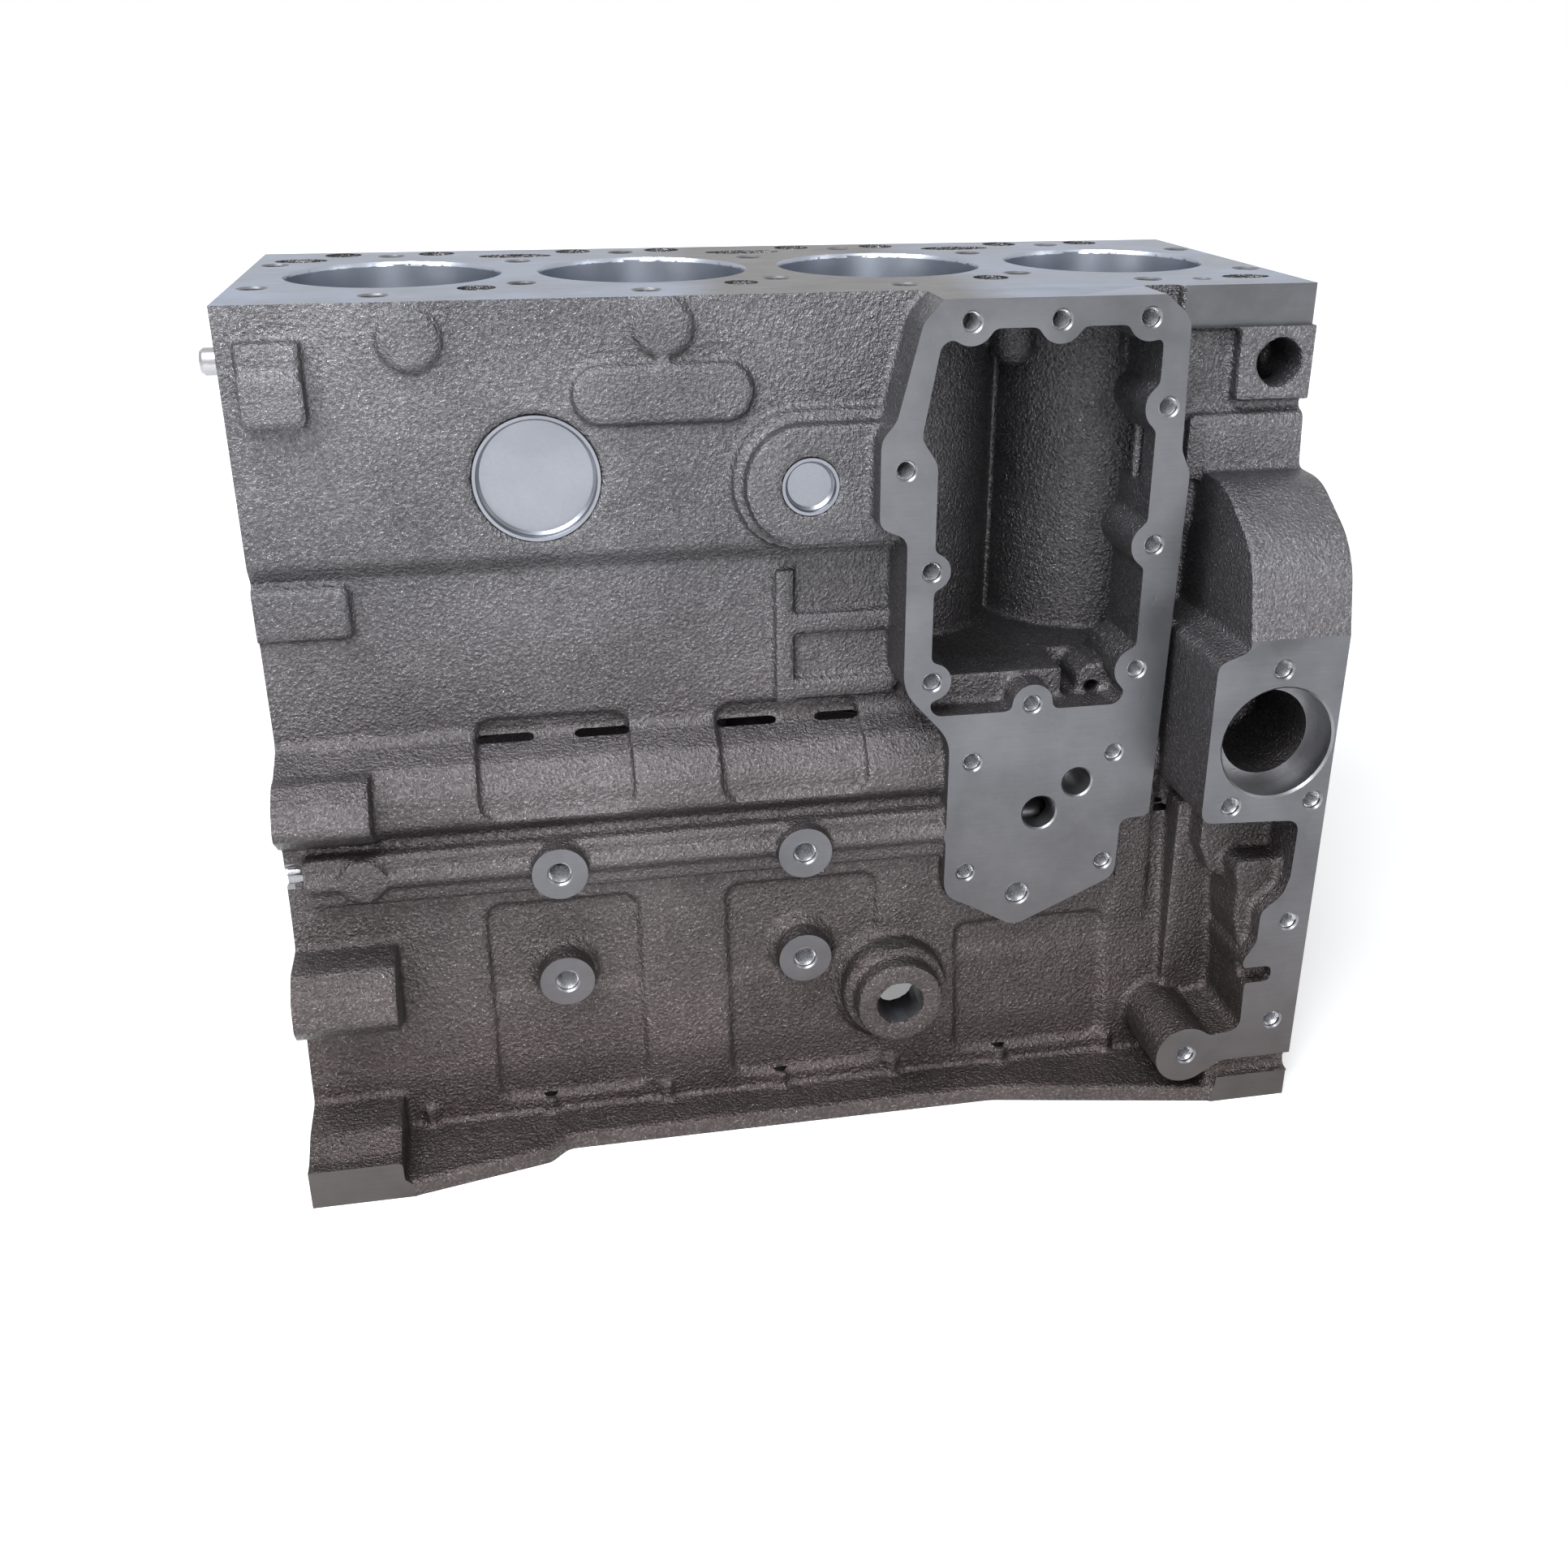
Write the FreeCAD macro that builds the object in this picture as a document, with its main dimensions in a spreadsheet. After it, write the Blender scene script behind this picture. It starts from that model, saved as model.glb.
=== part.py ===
import FreeCAD, Part
import math
import os
import Sketcher

# Bare crankcase casting of an in-line four-cylinder diesel engine, with its
# main bearing caps, cap bolts, core plugs, dowels and camshaft bushing.
# Frame: origin on the crankshaft axis at the middle main bearing, +X from the
# flywheel end to the timing end, +Z up towards the head deck, and the oil
# cooler side of the casting on -Y.

SIZES = [
    # overall envelope
    ("deck_height", 323.0),
    ("rear_overhang", 11.0),
    ("front_overhang", 9.5),
    ("rail_depth", 87.0),
    ("rail_thick", 8.5),
    ("near_wall", 99.0),
    ("far_wall", 97.0),
    ("rail_half", 154.2),
    ("foot_half", 177.0),
    # cylinders and water jacket
    ("bore_pitch", 120.0),
    ("bore_dia", 102.0),
        ("bore_chamfer", 1.2),
    ("barrel_dia", 121.6),
    ("jacket_floor", 141.0),
    ("deck_thick", 12.0),
    ("jacket_near", 87.0),
    ("jacket_far", 63.0),
    ("jacket_end", 9.0),
    # crankcase and main bearings
    ("main_dia", 88.0),
    ("web_thick", 17.0),
    ("case_near", 124.0),
    ("case_crown", 131.0),
    ("skirt_dia", 117.0),
    ("skirt_foot", 98.0),
    ("cam_tube_dia", 72.0),
    ("cap_half", 68.0),
    ("cap_play", 1.5),
    ("cap_height", 60.0),
    ("cap_seat", 44.0),
    ("cap_width", 16.0),
    ("cap_bolt_y", 54.5),
    ("cap_bolt_dia", 14.0),
    ("cap_thread", 58.0),
    ("ring_dia", 18.0),
    ("ring_depth", 6.0),
    # camshaft and tappets
    ("cam_y", 88.0),
    ("cam_z", 112.0),
    ("cam_dia", 54.0),
    ("cam_tunnel_dia", 56.0),
    ("cam_bush_dia", 59.0),
    ("cam_bush_width", 24.0),
    ("chamber_floor", 184.0),
    ("tappet_dia", 22.0),
    ("pushrod_dia", 13.0),
    ("pushrod_y", 86.0),
    ("valve_shift", 6.0),
    ("valve_half_gap", 24.0),
    ("cover_proud", 9.0),
    # head bolts
    ("head_bolt_dia", 12.4),
    ("head_bolt_depth", 38.0),
    ("head_corner_y", 44.5),
    ("head_middle_y", 77.0),
    ("head_middle_shift", 5.0),
    ("column_dia", 23.0),
    ("column_reach", 45.0),
    # oil cooler flange on the near side
    ("cooler_face", 130.0),
    ("cooler_left", 74.0),
    ("cooler_right", 61.0),
    ("cavity_left", 60.2),
    ("cavity_right", 43.5),
    ("cavity_low", 126.0),
    ("cavity_high", 310.0),
    ("cooler_bolt_dia", 8.6),
    ("cooler_bolt_depth", 20.0),
    # band, oil rail and lower wall of the near side
    ("recess_wall", 94.0),
    ("band_face", 123.0),
    ("oil_rail_face", 126.0),
    ("oil_rail_z", 60.0),
    ("oil_rail_half", 13.0),
    ("gallery_y", 110.0),
    ("gallery_dia", 14.0),
    ("boss_face", 135.0),
    ("boss_dia", 27.0),
    ("boss_hole_dia", 10.8),
    ("boss_shift", 2.5),
    ("panel_depth", 4.0),
    ("tube_boss_face", 148.0),
    ("tube_boss_dia", 45.0),
    ("tube_hole_dia", 23.6),
    # pump housing and inlet pad at the timing end
    ("pad_face", 178.0),
    ("inlet_back", 30.0),
    ("inlet_z", 120.0),
    ("inlet_dia", 56.0),
    ("inlet_step_dia", 44.0),
    ("inlet_step_depth", 9.0),
    ("volute_dia", 72.0),
    ("volute_y", 130.0),
    ("volute_z", 186.0),
    ("volute_depth", 44.0),
    # core plugs
    ("plug_large_dia", 58.0),
    ("plug_small_dia", 27.0),
    ("plug_depth", 11.0),
    ("plug_sheet", 1.8),
    ("plug_boss_face", 114.0),
    # fixings
    ("pan_bolt_dia", 8.5),
    ("pan_bolt_depth", 18.0),
    ("pan_bolt_pitch", 60.0),
    ("pan_bolt_start", 195.0),
    ("pan_bolt_y", 126.5),
    ("pan_boss_dia", 17.0),
    ("face_bolt_dia", 10.2),
    ("face_bolt_depth", 24.0),
    ("pin_dia", 12.0),
    ("pin_proud", 8.0),
    ("pin_depth", 14.0),
]

doc = FreeCAD.newDocument("engine_block")
sheet = doc.addObject("Spreadsheet::Sheet", "Sizes")
size = {}
for row, (alias, number) in enumerate(SIZES, start=1):
    sheet.set("A%d" % row, alias)
    sheet.set("B%d" % row, str(number))
    sheet.setAlias("B%d" % row, alias)
    size[alias] = number
doc.recompute()

X_AXIS = FreeCAD.Vector(1, 0, 0)
Y_AXIS = FreeCAD.Vector(0, 1, 0)
Z_AXIS = FreeCAD.Vector(0, 0, 1)
TURN = {
    "x": FreeCAD.Rotation(Y_AXIS, 90),
    "y": FreeCAD.Rotation(X_AXIS, -90),
    "z": FreeCAD.Rotation(),
}
# Lengths that follow from the cells: the ends stand past the outer main bearings.
DERIVED = {
    "$rear_length": "(2 * $bore_pitch + $rear_overhang)",
    "$front_length": "(2 * $bore_pitch + $front_overhang)",
    "$inlet_x": "(2 * $bore_pitch + $front_overhang - $inlet_back)",
}


def spelled(words):
    """Expression text with derived names and $cells written out."""
    for name, meaning in DERIVED.items():
        words = words.replace(name, meaning)
    return words.replace("$", "Sizes.")


def bind(item, prop, words):
    """Tie one property to the sheet; $name stands for a cell of the sheet."""
    item.setExpression(prop, spelled(words))


def slab(name, x, y, z):
    """Box between bound limits; each limit pair is (low, high) as text."""
    item = doc.addObject("Part::Box", name)
    for prop, limits in (("Length", x), ("Width", y), ("Height", z)):
        bind(item, prop, "(%s) - (%s)" % (limits[1], limits[0]))
    for axis, limits in (("x", x), ("y", y), ("z", z)):
        bind(item, "Placement.Base." + axis, limits[0])
    return item


def rod(name, axis, start, diameter, reach):
    """Round bar from a bound start point along one axis."""
    item = doc.addObject("Part::Cylinder", name)
    item.Placement = FreeCAD.Placement(FreeCAD.Vector(), TURN[axis])
    bind(item, "Radius", "(%s) / 2" % diameter)
    bind(item, "Height", reach)
    for letter, text in zip("xyz", start):
        bind(item, "Placement.Base." + letter, text)
    return item


def rounded_wire(points, place):
    """Closed wire through (a, b, radius) corners; place(a, b) gives a point."""
    edges = []
    count = len(points)
    joints = []
    for index, (a, b, radius) in enumerate(points):
        here = FreeCAD.Vector(a, b, 0)
        before = FreeCAD.Vector(points[index - 1][0], points[index - 1][1], 0) - here
        after_point = points[(index + 1) % count]
        after = FreeCAD.Vector(after_point[0], after_point[1], 0) - here
        angle = before.getAngle(after)
        if radius <= 0 or angle > math.pi - 0.01:
            joints.append((here, None, here))
            continue
        reach = radius / math.tan(angle / 2)
        reach = min(reach, 0.48 * before.Length, 0.48 * after.Length)
        before.normalize()
        after.normalize()
        start = here + before * reach
        finish = here + after * reach
        bisector = (before + after).normalize()
        true_radius = reach * math.tan(angle / 2)
        middle = here + bisector * (true_radius / math.sin(angle / 2) - true_radius)
        joints.append((start, middle, finish))
    for index, (start, middle, finish) in enumerate(joints):
        if middle is not None:
            arc = Part.Arc(place(start.x, start.y), place(middle.x, middle.y), place(finish.x, finish.y))
            edges.append(arc.toShape())
        following = joints[(index + 1) % count][0]
        if (following - finish).Length > 1e-6:
            edges.append(Part.makeLine(place(finish.x, finish.y), place(following.x, following.y)))
    return Part.Wire(edges)


def prism(name, points, plane, start, reach):
    """Outline of (a, b, radius) corners, extruded from start over reach.

    plane "x" takes (y, z) corners, "y" takes (x, z) and "z" takes (x, y)."""
    frames = {
        "x": (lambda a, b: FreeCAD.Vector(0, a, b), X_AXIS),
        "y": (lambda a, b: FreeCAD.Vector(a, 0, b), Y_AXIS),
        "z": (lambda a, b: FreeCAD.Vector(a, b, 0), Z_AXIS),
    }
    place, direction = frames[plane]
    outline = doc.addObject("Part::Feature", name + "_outline")
    outline.Shape = Part.Face(rounded_wire(points, place))
    item = doc.addObject("Part::Extrusion", name)
    item.Base = outline
    item.DirMode = "Custom"
    item.Dir = direction
    item.Solid = True
    bind(item, "LengthFwd", reach)
    bind(item, "Placement.Base." + plane, start)
    return item


def rectangle(x0, x1, z0, z1, radius):
    """Corners of a rectangle with one corner radius."""
    return [(x0, z0, radius), (x1, z0, radius), (x1, z1, radius), (x0, z1, radius)]


def fuse(name, items):
    item = doc.addObject("Part::MultiFuse", name)
    item.Shapes = items
    return item


def cut(name, base, tool):
    item = doc.addObject("Part::Cut", name)
    item.Base = base
    item.Tool = tool
    return item


def common(name, base, tool):
    item = doc.addObject("Part::Common", name)
    item.Base = base
    item.Tool = tool
    return item


def text(number):
    return "%.4f" % number


def station(step):
    """X of a main bearing, counted from the middle one, as bound text."""
    return "(%d * $bore_pitch)" % step


def cylinder_x(step):
    """X of a cylinder axis (step 0 is the one next to the flywheel)."""
    return "((%g) * $bore_pitch)" % (step - 1.5)


LENGTH = "$rear_length + $front_length"
REAR = "-$rear_length"
deck = size["deck_height"]
rail = size["rail_depth"]
near = size["near_wall"]
far = size["far_wall"]
recess = size["recess_wall"]
band = size["band_face"]
pitch = size["bore_pitch"]
rear = 2 * pitch + size["rear_overhang"]
front = 2 * pitch + size["front_overhang"]
foot = size["foot_half"]
oil_z = size["oil_rail_z"]
shelf = size["rail_thick"]

# ---------------------------------------------------------------- outer casting
# Cross-section of the casting: deck at the top, waist at the recess wall, the
# sloping band over the oil rail, the crankcase skirt and the camshaft side.
waist_top = deck - 117.0
waist_low = 118.0
skirt_near = 131.0
section = [
    (-near, deck, 0),
    (-near, waist_top + 2.0, 5),
    (-recess, waist_top - 6.0, 5),
    (-recess, waist_low, 7),
    (-band + 11.0, waist_low - 7.0, 6),
    (-band + 2.0, waist_low - 18.0, 8),
    (-band, 85.0, 4),
    (-band + 7.0, 77.0, 4),
    (-band + 5.0, 44.0, 4),
    (-skirt_near + 6.0, -14.0, 30),
    (-skirt_near, -50.0, 30),
    (-skirt_near, -rail, 0),
    (skirt_near, -rail, 0),
    (skirt_near, -50.0, 30),
    (skirt_near - 6.0, 10.0, 20),
    (far + 19.0, 52.0, 12),
    (far + 31.0, 80.0, 14),
    (far + 31.0, 150.0, 30),
    (far + 12.0, 205.0, 14),
    (far, 222.0, 8),
    (far, deck, 0),
]
casting = [prism("crankcase_section", section, "x", REAR, LENGTH)]

# Pan rail: a thin shelf whose near and far edges step out to the feet.
near_rail = size["rail_half"]
shelf_plan = [
    (-rear, -foot, 0),
    (-rear + 47.0, -foot, 8),
    (-rear + 114.0, -near_rail - 9.0, 6),
    (-rear + 123.0, -near_rail, 6),
    (front - 155.5, -near_rail, 12),
    (front - 37.5, -foot, 10),
    (front, -foot, 0),
    (front, foot, 0),
    (front - 37.5, foot, 10),
    (front - 99.5, near_rail, 12),
    (-rear + 101.0, near_rail, 12),
    (-rear + 47.0, foot, 8),
    (-rear, foot, 0),
]
casting.append(prism("pan_shelf", shelf_plan, "z", "-$rail_depth", "$rail_thick"))
for index in range(7):
    casting.append(rod("drill_rib_%d" % index, "z",
                       ("-$pan_bolt_start + %d * $pan_bolt_pitch" % index, text(-skirt_near - 0.6),
                        "-$rail_depth + $rail_thick - 1"), "5.6", "11"))

# Flywheel-end blocks: bosses of the housing bolts, in three tiers, and their
# twins on the camshaft side.
upper_block = [(-90, 112, 0), (-121, 110.5, 6), (-131, 104, 6), (-139, 91, 5), (-125, 80, 6), (-97, 66, 4), (-90, 66, 0)]
middle_block = [(-80, 24, 0), (-144, 23, 6), (-155, 13, 5), (-158, 0, 4), (-152, -8, 5), (-124, -20, 5), (-80, -20, 0)]
lower_block = [(-110, -57, 0), (-156, -60, 7), (-170, -66.5, 4), (-foot, -66.5, 0), (-foot, -rail, 0), (-110, -rail, 0)]
casting.append(prism("upper_rear_block", upper_block, "x", REAR, "44"))
casting.append(prism("middle_rear_block", middle_block, "x", REAR, "48"))
casting.append(prism("lower_rear_block", lower_block, "x", REAR, "44"))
mirrored_middle = [(-a, b, r) for a, b, r in middle_block]
mirrored_lower = [(-a, b, r) for a, b, r in lower_block]
casting.append(prism("middle_rear_block_far", mirrored_middle, "x", REAR, "38"))
casting.append(prism("lower_rear_block_far", mirrored_lower, "x", REAR, "46"))
casting.append(prism("lower_front_block_far", mirrored_lower, "x", "$front_length - 40", "40"))

# Raised cast pads of the upper near wall.
WALL = "-$near_wall + 3"
casting.append(slab("rear_pad_thin", ("-$rear_length + 8", "-$rear_length + 35"),
                    ("-$near_wall - 6.5", WALL), ("$deck_height - 30", "$deck_height - 15")))
casting.append(prism("rear_pad_thick", rectangle(-rear + 8, -rear + 35, deck - 51, deck - 29, 2.5),
                     "y", "-$near_wall - 9", "13"))
casting.append(rod("sand_disc_rear", "y", (cylinder_x(0) + " + 9.5", "-$near_wall - 3", "$deck_height - 16"), "27", "6"))
casting.append(rod("sand_disc_middle", "y", (cylinder_x(1) + " - 0.3", "-$near_wall - 3", "$deck_height - 13.2"), "26", "6"))
casting.append(prism("long_pad", rectangle(-pitch / 2 - 42, -pitch / 2 + 39.5, deck - 55.5, deck - 29, 13), "y", "-$near_wall - 4.5", "9"))
plug_small_x = 4.0
plug_small_z = deck - 84.8
casting.append(prism("plug_boss", rectangle(-26, 70, plug_small_z - 27.7, plug_small_z + 28.5, 27), "y",
                     "-$plug_boss_face", "$plug_boss_face - $recess_wall + 5"))
casting.append(prism("plug_boss_foot", rectangle(-31, 70, plug_small_z - 32.5, plug_small_z + 33.5, 32), "y",
                     "-$near_wall - 5", "10"))

# Waist details: a low rear block and a ladder of ribs under the plug boss.
casting.append(prism("waist_block", [(-rear, 172.5, 0), (-rear + 42.4, 172.5, 3),
                                       (-rear + 42.4, 197.5, 3), (-rear, 197.5, 0)], "y", "-$recess_wall - 5", "9"))
casting.append(slab("ladder_post", ("-10.5", "-1.5"), ("-$recess_wall - 4.5", "-$recess_wall + 3"), ("104", "194")))
casting.append(slab("ladder_rung_high", ("-4", "50"), ("-$recess_wall - 4.5", "-$recess_wall + 3"), ("161.5", "171.5")))
casting.append(slab("ladder_rung_low", ("-4", "50"), ("-$recess_wall - 4.5", "-$recess_wall + 3"), ("127.5", "137.5")))

# Oil rail over the main gallery, with a half-round rib and tapping bosses.
oil_rail_outline = rectangle(-rear + 9, pitch - 40, oil_z - size["oil_rail_half"], oil_z + size["oil_rail_half"], 4)
casting.append(prism("oil_rail", oil_rail_outline, "y", "-$oil_rail_face", "$oil_rail_face - 95"))
casting.append(rod("oil_rail_rib", "x", ("-$rear_length + 47", "-$oil_rail_face + 0.6", "$oil_rail_z"), "8",
                   "$rear_length + $bore_pitch - 95"))
casting.append(rod("oil_rail_rib_rear", "x", ("-$rear_length + 9", "-$oil_rail_face + 0.6", "$oil_rail_z"), "8", "20"))
casting.append(rod("oil_rail_knob", "y", ("-$rear_length + 36.5", "-$oil_rail_face - 4", "$oil_rail_z + 1.5"), "22", "12"))
REAR_PINS = [(-86.0, 298.0), (106.0, 40.0)]
FRONT_PINS = [(-150.0, 40.0), (100.0, 180.0)]
boss_places = []
for step in (-1, 0):
    for level in ("$oil_rail_z", "0"):
        boss_places.append((station(step) + " - $boss_shift", level))
for index, (boss_x, boss_z) in enumerate(boss_places):
    casting.append(rod("tapping_boss_%d" % index, "y", (boss_x, "-$boss_face", boss_z),
                       "$boss_dia", "$boss_face - 98"))
TUBE_X = "45"
TUBE_Z = "-25"
casting.append(rod("tube_boss", "y", (TUBE_X, "-$tube_boss_face", TUBE_Z), "$tube_boss_dia", "$tube_boss_face - 112"))
casting.append(rod("tube_boss_foot", "y", (TUBE_X, "-136", TUBE_Z), "$tube_boss_dia + 10", "20"))

# Oil cooler box: its flange outline follows the bolts, with lobes on the left.
left = pitch - size["cooler_left"]
right = pitch + size["cooler_right"]
cooler_outline = [
    (left + 14.0, deck, 0), (left + 5.0, deck - 10.0, 8), (left - 6.0, deck - 53.0, 12),
    (left - 13.0, deck - 61.0, 10), (left - 13.0, deck - 101.5, 6), (left + 0.4, deck - 107.0, 6),
    (left + 0.4, 140.0, 22), (left + 24.5, 113.0, 20), (left + 24.5, 26.0, 12), (left + 40.0, 18.0, 8),
    (pitch - 11.0, 4.5, 10), (right - 18.5, 29.0, 9), (right - 17.8, 61.6, 4), (right - 2.4, 62.5, 3),
    (right + 1.4, deck - 82.0, 3), (right - 3.6, deck - 71.0, 6), (right - 5.0, deck - 11.0, 11),
    (right - 17.5, deck, 6),
]
casting.append(prism("cooler_box", cooler_outline, "y", "-$cooler_face", "$cooler_face - 84"))
casting.append(prism("cooler_step", rectangle(pitch + 52, pitch + 67, 66, 232, 4), "y", "-118", "30"))
casting.append(prism("lower_front_wall", rectangle(front - 83.5, front - 65.5, -52, 78, 6), "y", "-124", "30"))

# Pump housing: a shallow shoulder, the round volute and the square inlet pad.
pad = size["pad_face"]
housing = [(-85, 263, 0), (-near - 6, 263, 4), (-near - 8.5, 236, 3), (-131, 235.5, 34),
           (-pad + 9, 212, 40), (-pad, 172, 16), (-pad, 120, 0), (-85, 120, 0)]
casting.append(prism("pump_housing", housing, "x", "$front_length - 49.5", "49.5"))
shoulder = rectangle(front - 58.5, front, 231, 262.5, 3)
casting.append(prism("housing_shoulder", shoulder, "y", "-$near_wall - 6", "12"))
pad_outline = [(front - 65, 80, 6), (front, 77, 0), (front, 171.5, 0), (front - 37.5, 171.5, 6),
               (front - 46.5, 169, 6), (front - 65, 162, 5)]
casting.append(prism("inlet_pad", pad_outline, "y", "-$pad_face", "$pad_face - 90"))
strip_outline = [
    (front, 90, 0), (front - 24, 90, 0), (front - 24, 78, 0), (front - 13, 77.5, 9), (front - 13.5, 46, 6),
    (front - 16.5, 36, 5), (front - 27, 27, 5), (front - 27, 10, 4), (front - 33.5, -1, 4), (front - 31, -13, 3),
    (front - 30.2, -42, 6), (front - 46.5, -44, 6), (front - 59, -38.5, 0), (front - 59, -70.4, 0),
    (front - 46.5, -65.5, 5), (front - 38.5, -60.2, 5), (front, -60, 0),
]
casting.append(prism("front_strip", strip_outline, "y", "-$pad_face", "$pad_face - 108"))
casting.append(rod("strip_lobe", "y", ("$front_length - 59", "-$pad_face", "-54.4"), "32", "$pad_face - 116"))
casting.append(slab("front_foot_web", ("$front_length - 43.5", "$front_length"), ("-172", "-100"), ("-$rail_depth", "-58")))
casting.append(slab("front_foot", ("$front_length - 39.5", "$front_length"), ("-$foot_half", "-100"), ("-$rail_depth", "-71")))
pocket_roof = [(front - 50, 84, 0), (front - 10, 84, 0), (front - 10, 47, 4), (front - 28, 47, 4),
               (front - 32, 33, 6), (front - 43, 36, 6), (front - 50, 52, 4)]
casting.append(prism("pocket_roof", pocket_roof, "y", "-150", "50"))
pocket_column = [(front - 56, 70, 0), (front - 36, 70, 6), (front - 38, 36, 8), (front - 31, 18, 10),
                 (front - 25, -52, 3), (front - 56, -52, 0)]
casting.append(prism("pocket_column", pocket_column, "y", "-130", "30"))
strip_shoulder = [(front - 8, 51, 0), (front - 39, 51, 5), (front - 35, 33, 6), (front - 35, 17, 4),
                  (front - 31, 0, 3), (front - 8, 0, 0)]
casting.append(prism("strip_shoulder", strip_shoulder, "y", "-$pad_face + 11", "60"))
casting.append(slab("deck_side_band", ("$front_length - 68.5", "$front_length"), ("-$near_wall - 4", WALL), ("$deck_height - 20", "$deck_height")))
casting.append(prism("port_pad", [(front - 37.5, deck - 54, 3), (front, deck - 54, 0),
                                   (front, deck - 19, 0), (front - 37.5, deck - 19, 3)], "y", "-$near_wall - 8.5", "12"))

# Camshaft side: cover flange of the tappet chamber, lift pump pad, mount pads.
cover_outline = rectangle(-rear + 29, front - 27.5, deck - 105, deck - 10, 14)
casting.append(prism("cover_flange", cover_outline, "y", "$far_wall - 4", "$cover_proud + 4"))
casting.append(prism("lift_pump_pad", rectangle(20, 96, 84, 140, 12), "y", "$far_wall + 20", "17"))
for index, step in enumerate((-1, 1)):
    mount = rectangle(step * pitch - 46, step * pitch + 46, -46, 40, 10)
    casting.append(prism("mount_pad_%d" % index, mount, "y", "104", "36"))
outer = fuse("casting", casting)

# ------------------------------------------------------------------ inner spaces
# Crankcase bays between the five webs, round the cylinder skirts and the
# camshaft tube, which hang into them.
case = size["case_near"]
crown = size["case_crown"]
bay = [
    (-case, -rail - 5, 0), (-case, -24, 24), (-98, 42, 16), (-98, 110, 8), (-86, 122, 6), (-86, crown, 6),
    (118, crown, 10), (118, 84, 10), (104, 50, 14), (case, -10, 24), (case, -rail - 5, 0),
]
bays = []
for step in range(4):
    start = "(%g) * $bore_pitch + $web_thick / 2" % (step - 2)
    reach = "$bore_pitch - $web_thick"
    bays.append(prism("bay_%d" % step, bay, "x", start, reach))
hanging = [rod("cam_tube", "x", (REAR, "$cam_y", "$cam_z"), "$cam_tube_dia", LENGTH)]
for step in range(4):
    hanging.append(rod("skirt_%d" % step, "z", (cylinder_x(step), "0", "$skirt_foot"), "$skirt_dia",
                       "$case_crown - $skirt_foot + 5"))
for sign in ("-", ""):
    for index in range(7):
        hanging.append(rod("pan_boss_%s%d" % ("near_" if sign else "far_", index), "z",
                           ("-$pan_bolt_start + %d * $pan_bolt_pitch" % index, sign + "$pan_bolt_y",
                            "-$rail_depth - 2"), "$pan_boss_dia", "$pan_bolt_depth + 8"))
crankcase = cut("crankcase_space", fuse("bays", bays), fuse("hanging", hanging))
spaces = [crankcase]

# Cap channel under the saddles and the main bearing line bore.
spaces.append(slab("cap_channel", ("-$rear_length - 5", "$front_length + 5"),
                   ("-$cap_half - $cap_play", "$cap_half + $cap_play"), ("-$rail_depth - 5", "0")))
spaces.append(rod("main_line", "x", ("-$rear_length - 5", "0", "0"), "$main_dia", LENGTH + " + 10"))

# Cylinder bores with their entry chamfers.
for step in range(4):
    spaces.append(rod("cylinder_%d" % step, "z", (cylinder_x(step), "0", "$skirt_foot - 20"),
                      "$bore_dia", "$deck_height - $skirt_foot + 25"))
    mouth = doc.addObject("Part::Cone", "cylinder_mouth_%d" % step)
    bind(mouth, "Radius1", "$bore_dia / 2")
    bind(mouth, "Radius2", "$bore_dia / 2 + 2 * $bore_chamfer")
    bind(mouth, "Height", "2 * $bore_chamfer")
    bind(mouth, "Placement.Base.x", cylinder_x(step))
    bind(mouth, "Placement.Base.z", "$deck_height - $bore_chamfer")
    spaces.append(mouth)

# Water jacket: the room round the siamesed barrels and the bolt columns.
jacket_room = slab("jacket_room", ("-$rear_length + $jacket_end", "$front_length - $jacket_end"),
                   ("-$jacket_near", "$jacket_far"), ("$jacket_floor", "$deck_height - $deck_thick"))
solids = []
for step in range(4):
    solids.append(rod("barrel_%d" % step, "z", (cylinder_x(step), "0", "$jacket_floor - 5"),
                      "$barrel_dia", "$deck_height - $jacket_floor + 10"))
head_corner = []
head_middle = []
for step in range(-2, 3):
    for sign in ("-", ""):
        head_corner.append((station(step), sign + "$head_corner_y"))
for step in range(4):
    for sign in ("-", ""):
        head_middle.append((cylinder_x(step) + " - $head_middle_shift", sign + "$head_middle_y"))
for index, (bolt_x, bolt_y) in enumerate(head_corner + head_middle):
    solids.append(rod("column_%d" % index, "z", (bolt_x, bolt_y, "$deck_height - $column_reach + $column_dia / 2"),
                      "$column_dia", "$column_reach"))
    knob = doc.addObject("Part::Sphere", "column_end_%d" % index)
    bind(knob, "Radius", "$column_dia / 2")
    bind(knob, "Placement.Base.x", bolt_x)
    bind(knob, "Placement.Base.y", bolt_y)
    bind(knob, "Placement.Base.z", "$deck_height - $column_reach + $column_dia / 2")
    solids.append(knob)
rear_bolts = [(-87, 273), (86, 300), (-108, 95), (110, 150), (-142, 6), (142, 6), (-150, -74), (150, -74)]
front_bolts = [(-60, 300), (60, 300), (-118, 228), (-166, 10), (-160, -50), (116, 152), (114, 62), (112, 0),
               (150, -74), (84, 205)]
for index, (bolt_y, bolt_z) in enumerate(rear_bolts[:1] + REAR_PINS[:1]):
    solids.append(rod("rear_pillar_%d" % index, "x", (REAR, text(bolt_y), text(bolt_z)), "20", "$face_bolt_depth + 8"))
for index, (bolt_y, bolt_z) in enumerate(front_bolts[:2]):
    solids.append(rod("front_pillar_%d" % index, "x", ("$front_length - $face_bolt_depth - 8", text(bolt_y),
                                                       text(bolt_z)), "20", "$face_bolt_depth + 8"))
jacket_solids = fuse("jacket_solids", solids)
jacket = cut("jacket", jacket_room, jacket_solids)

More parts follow.
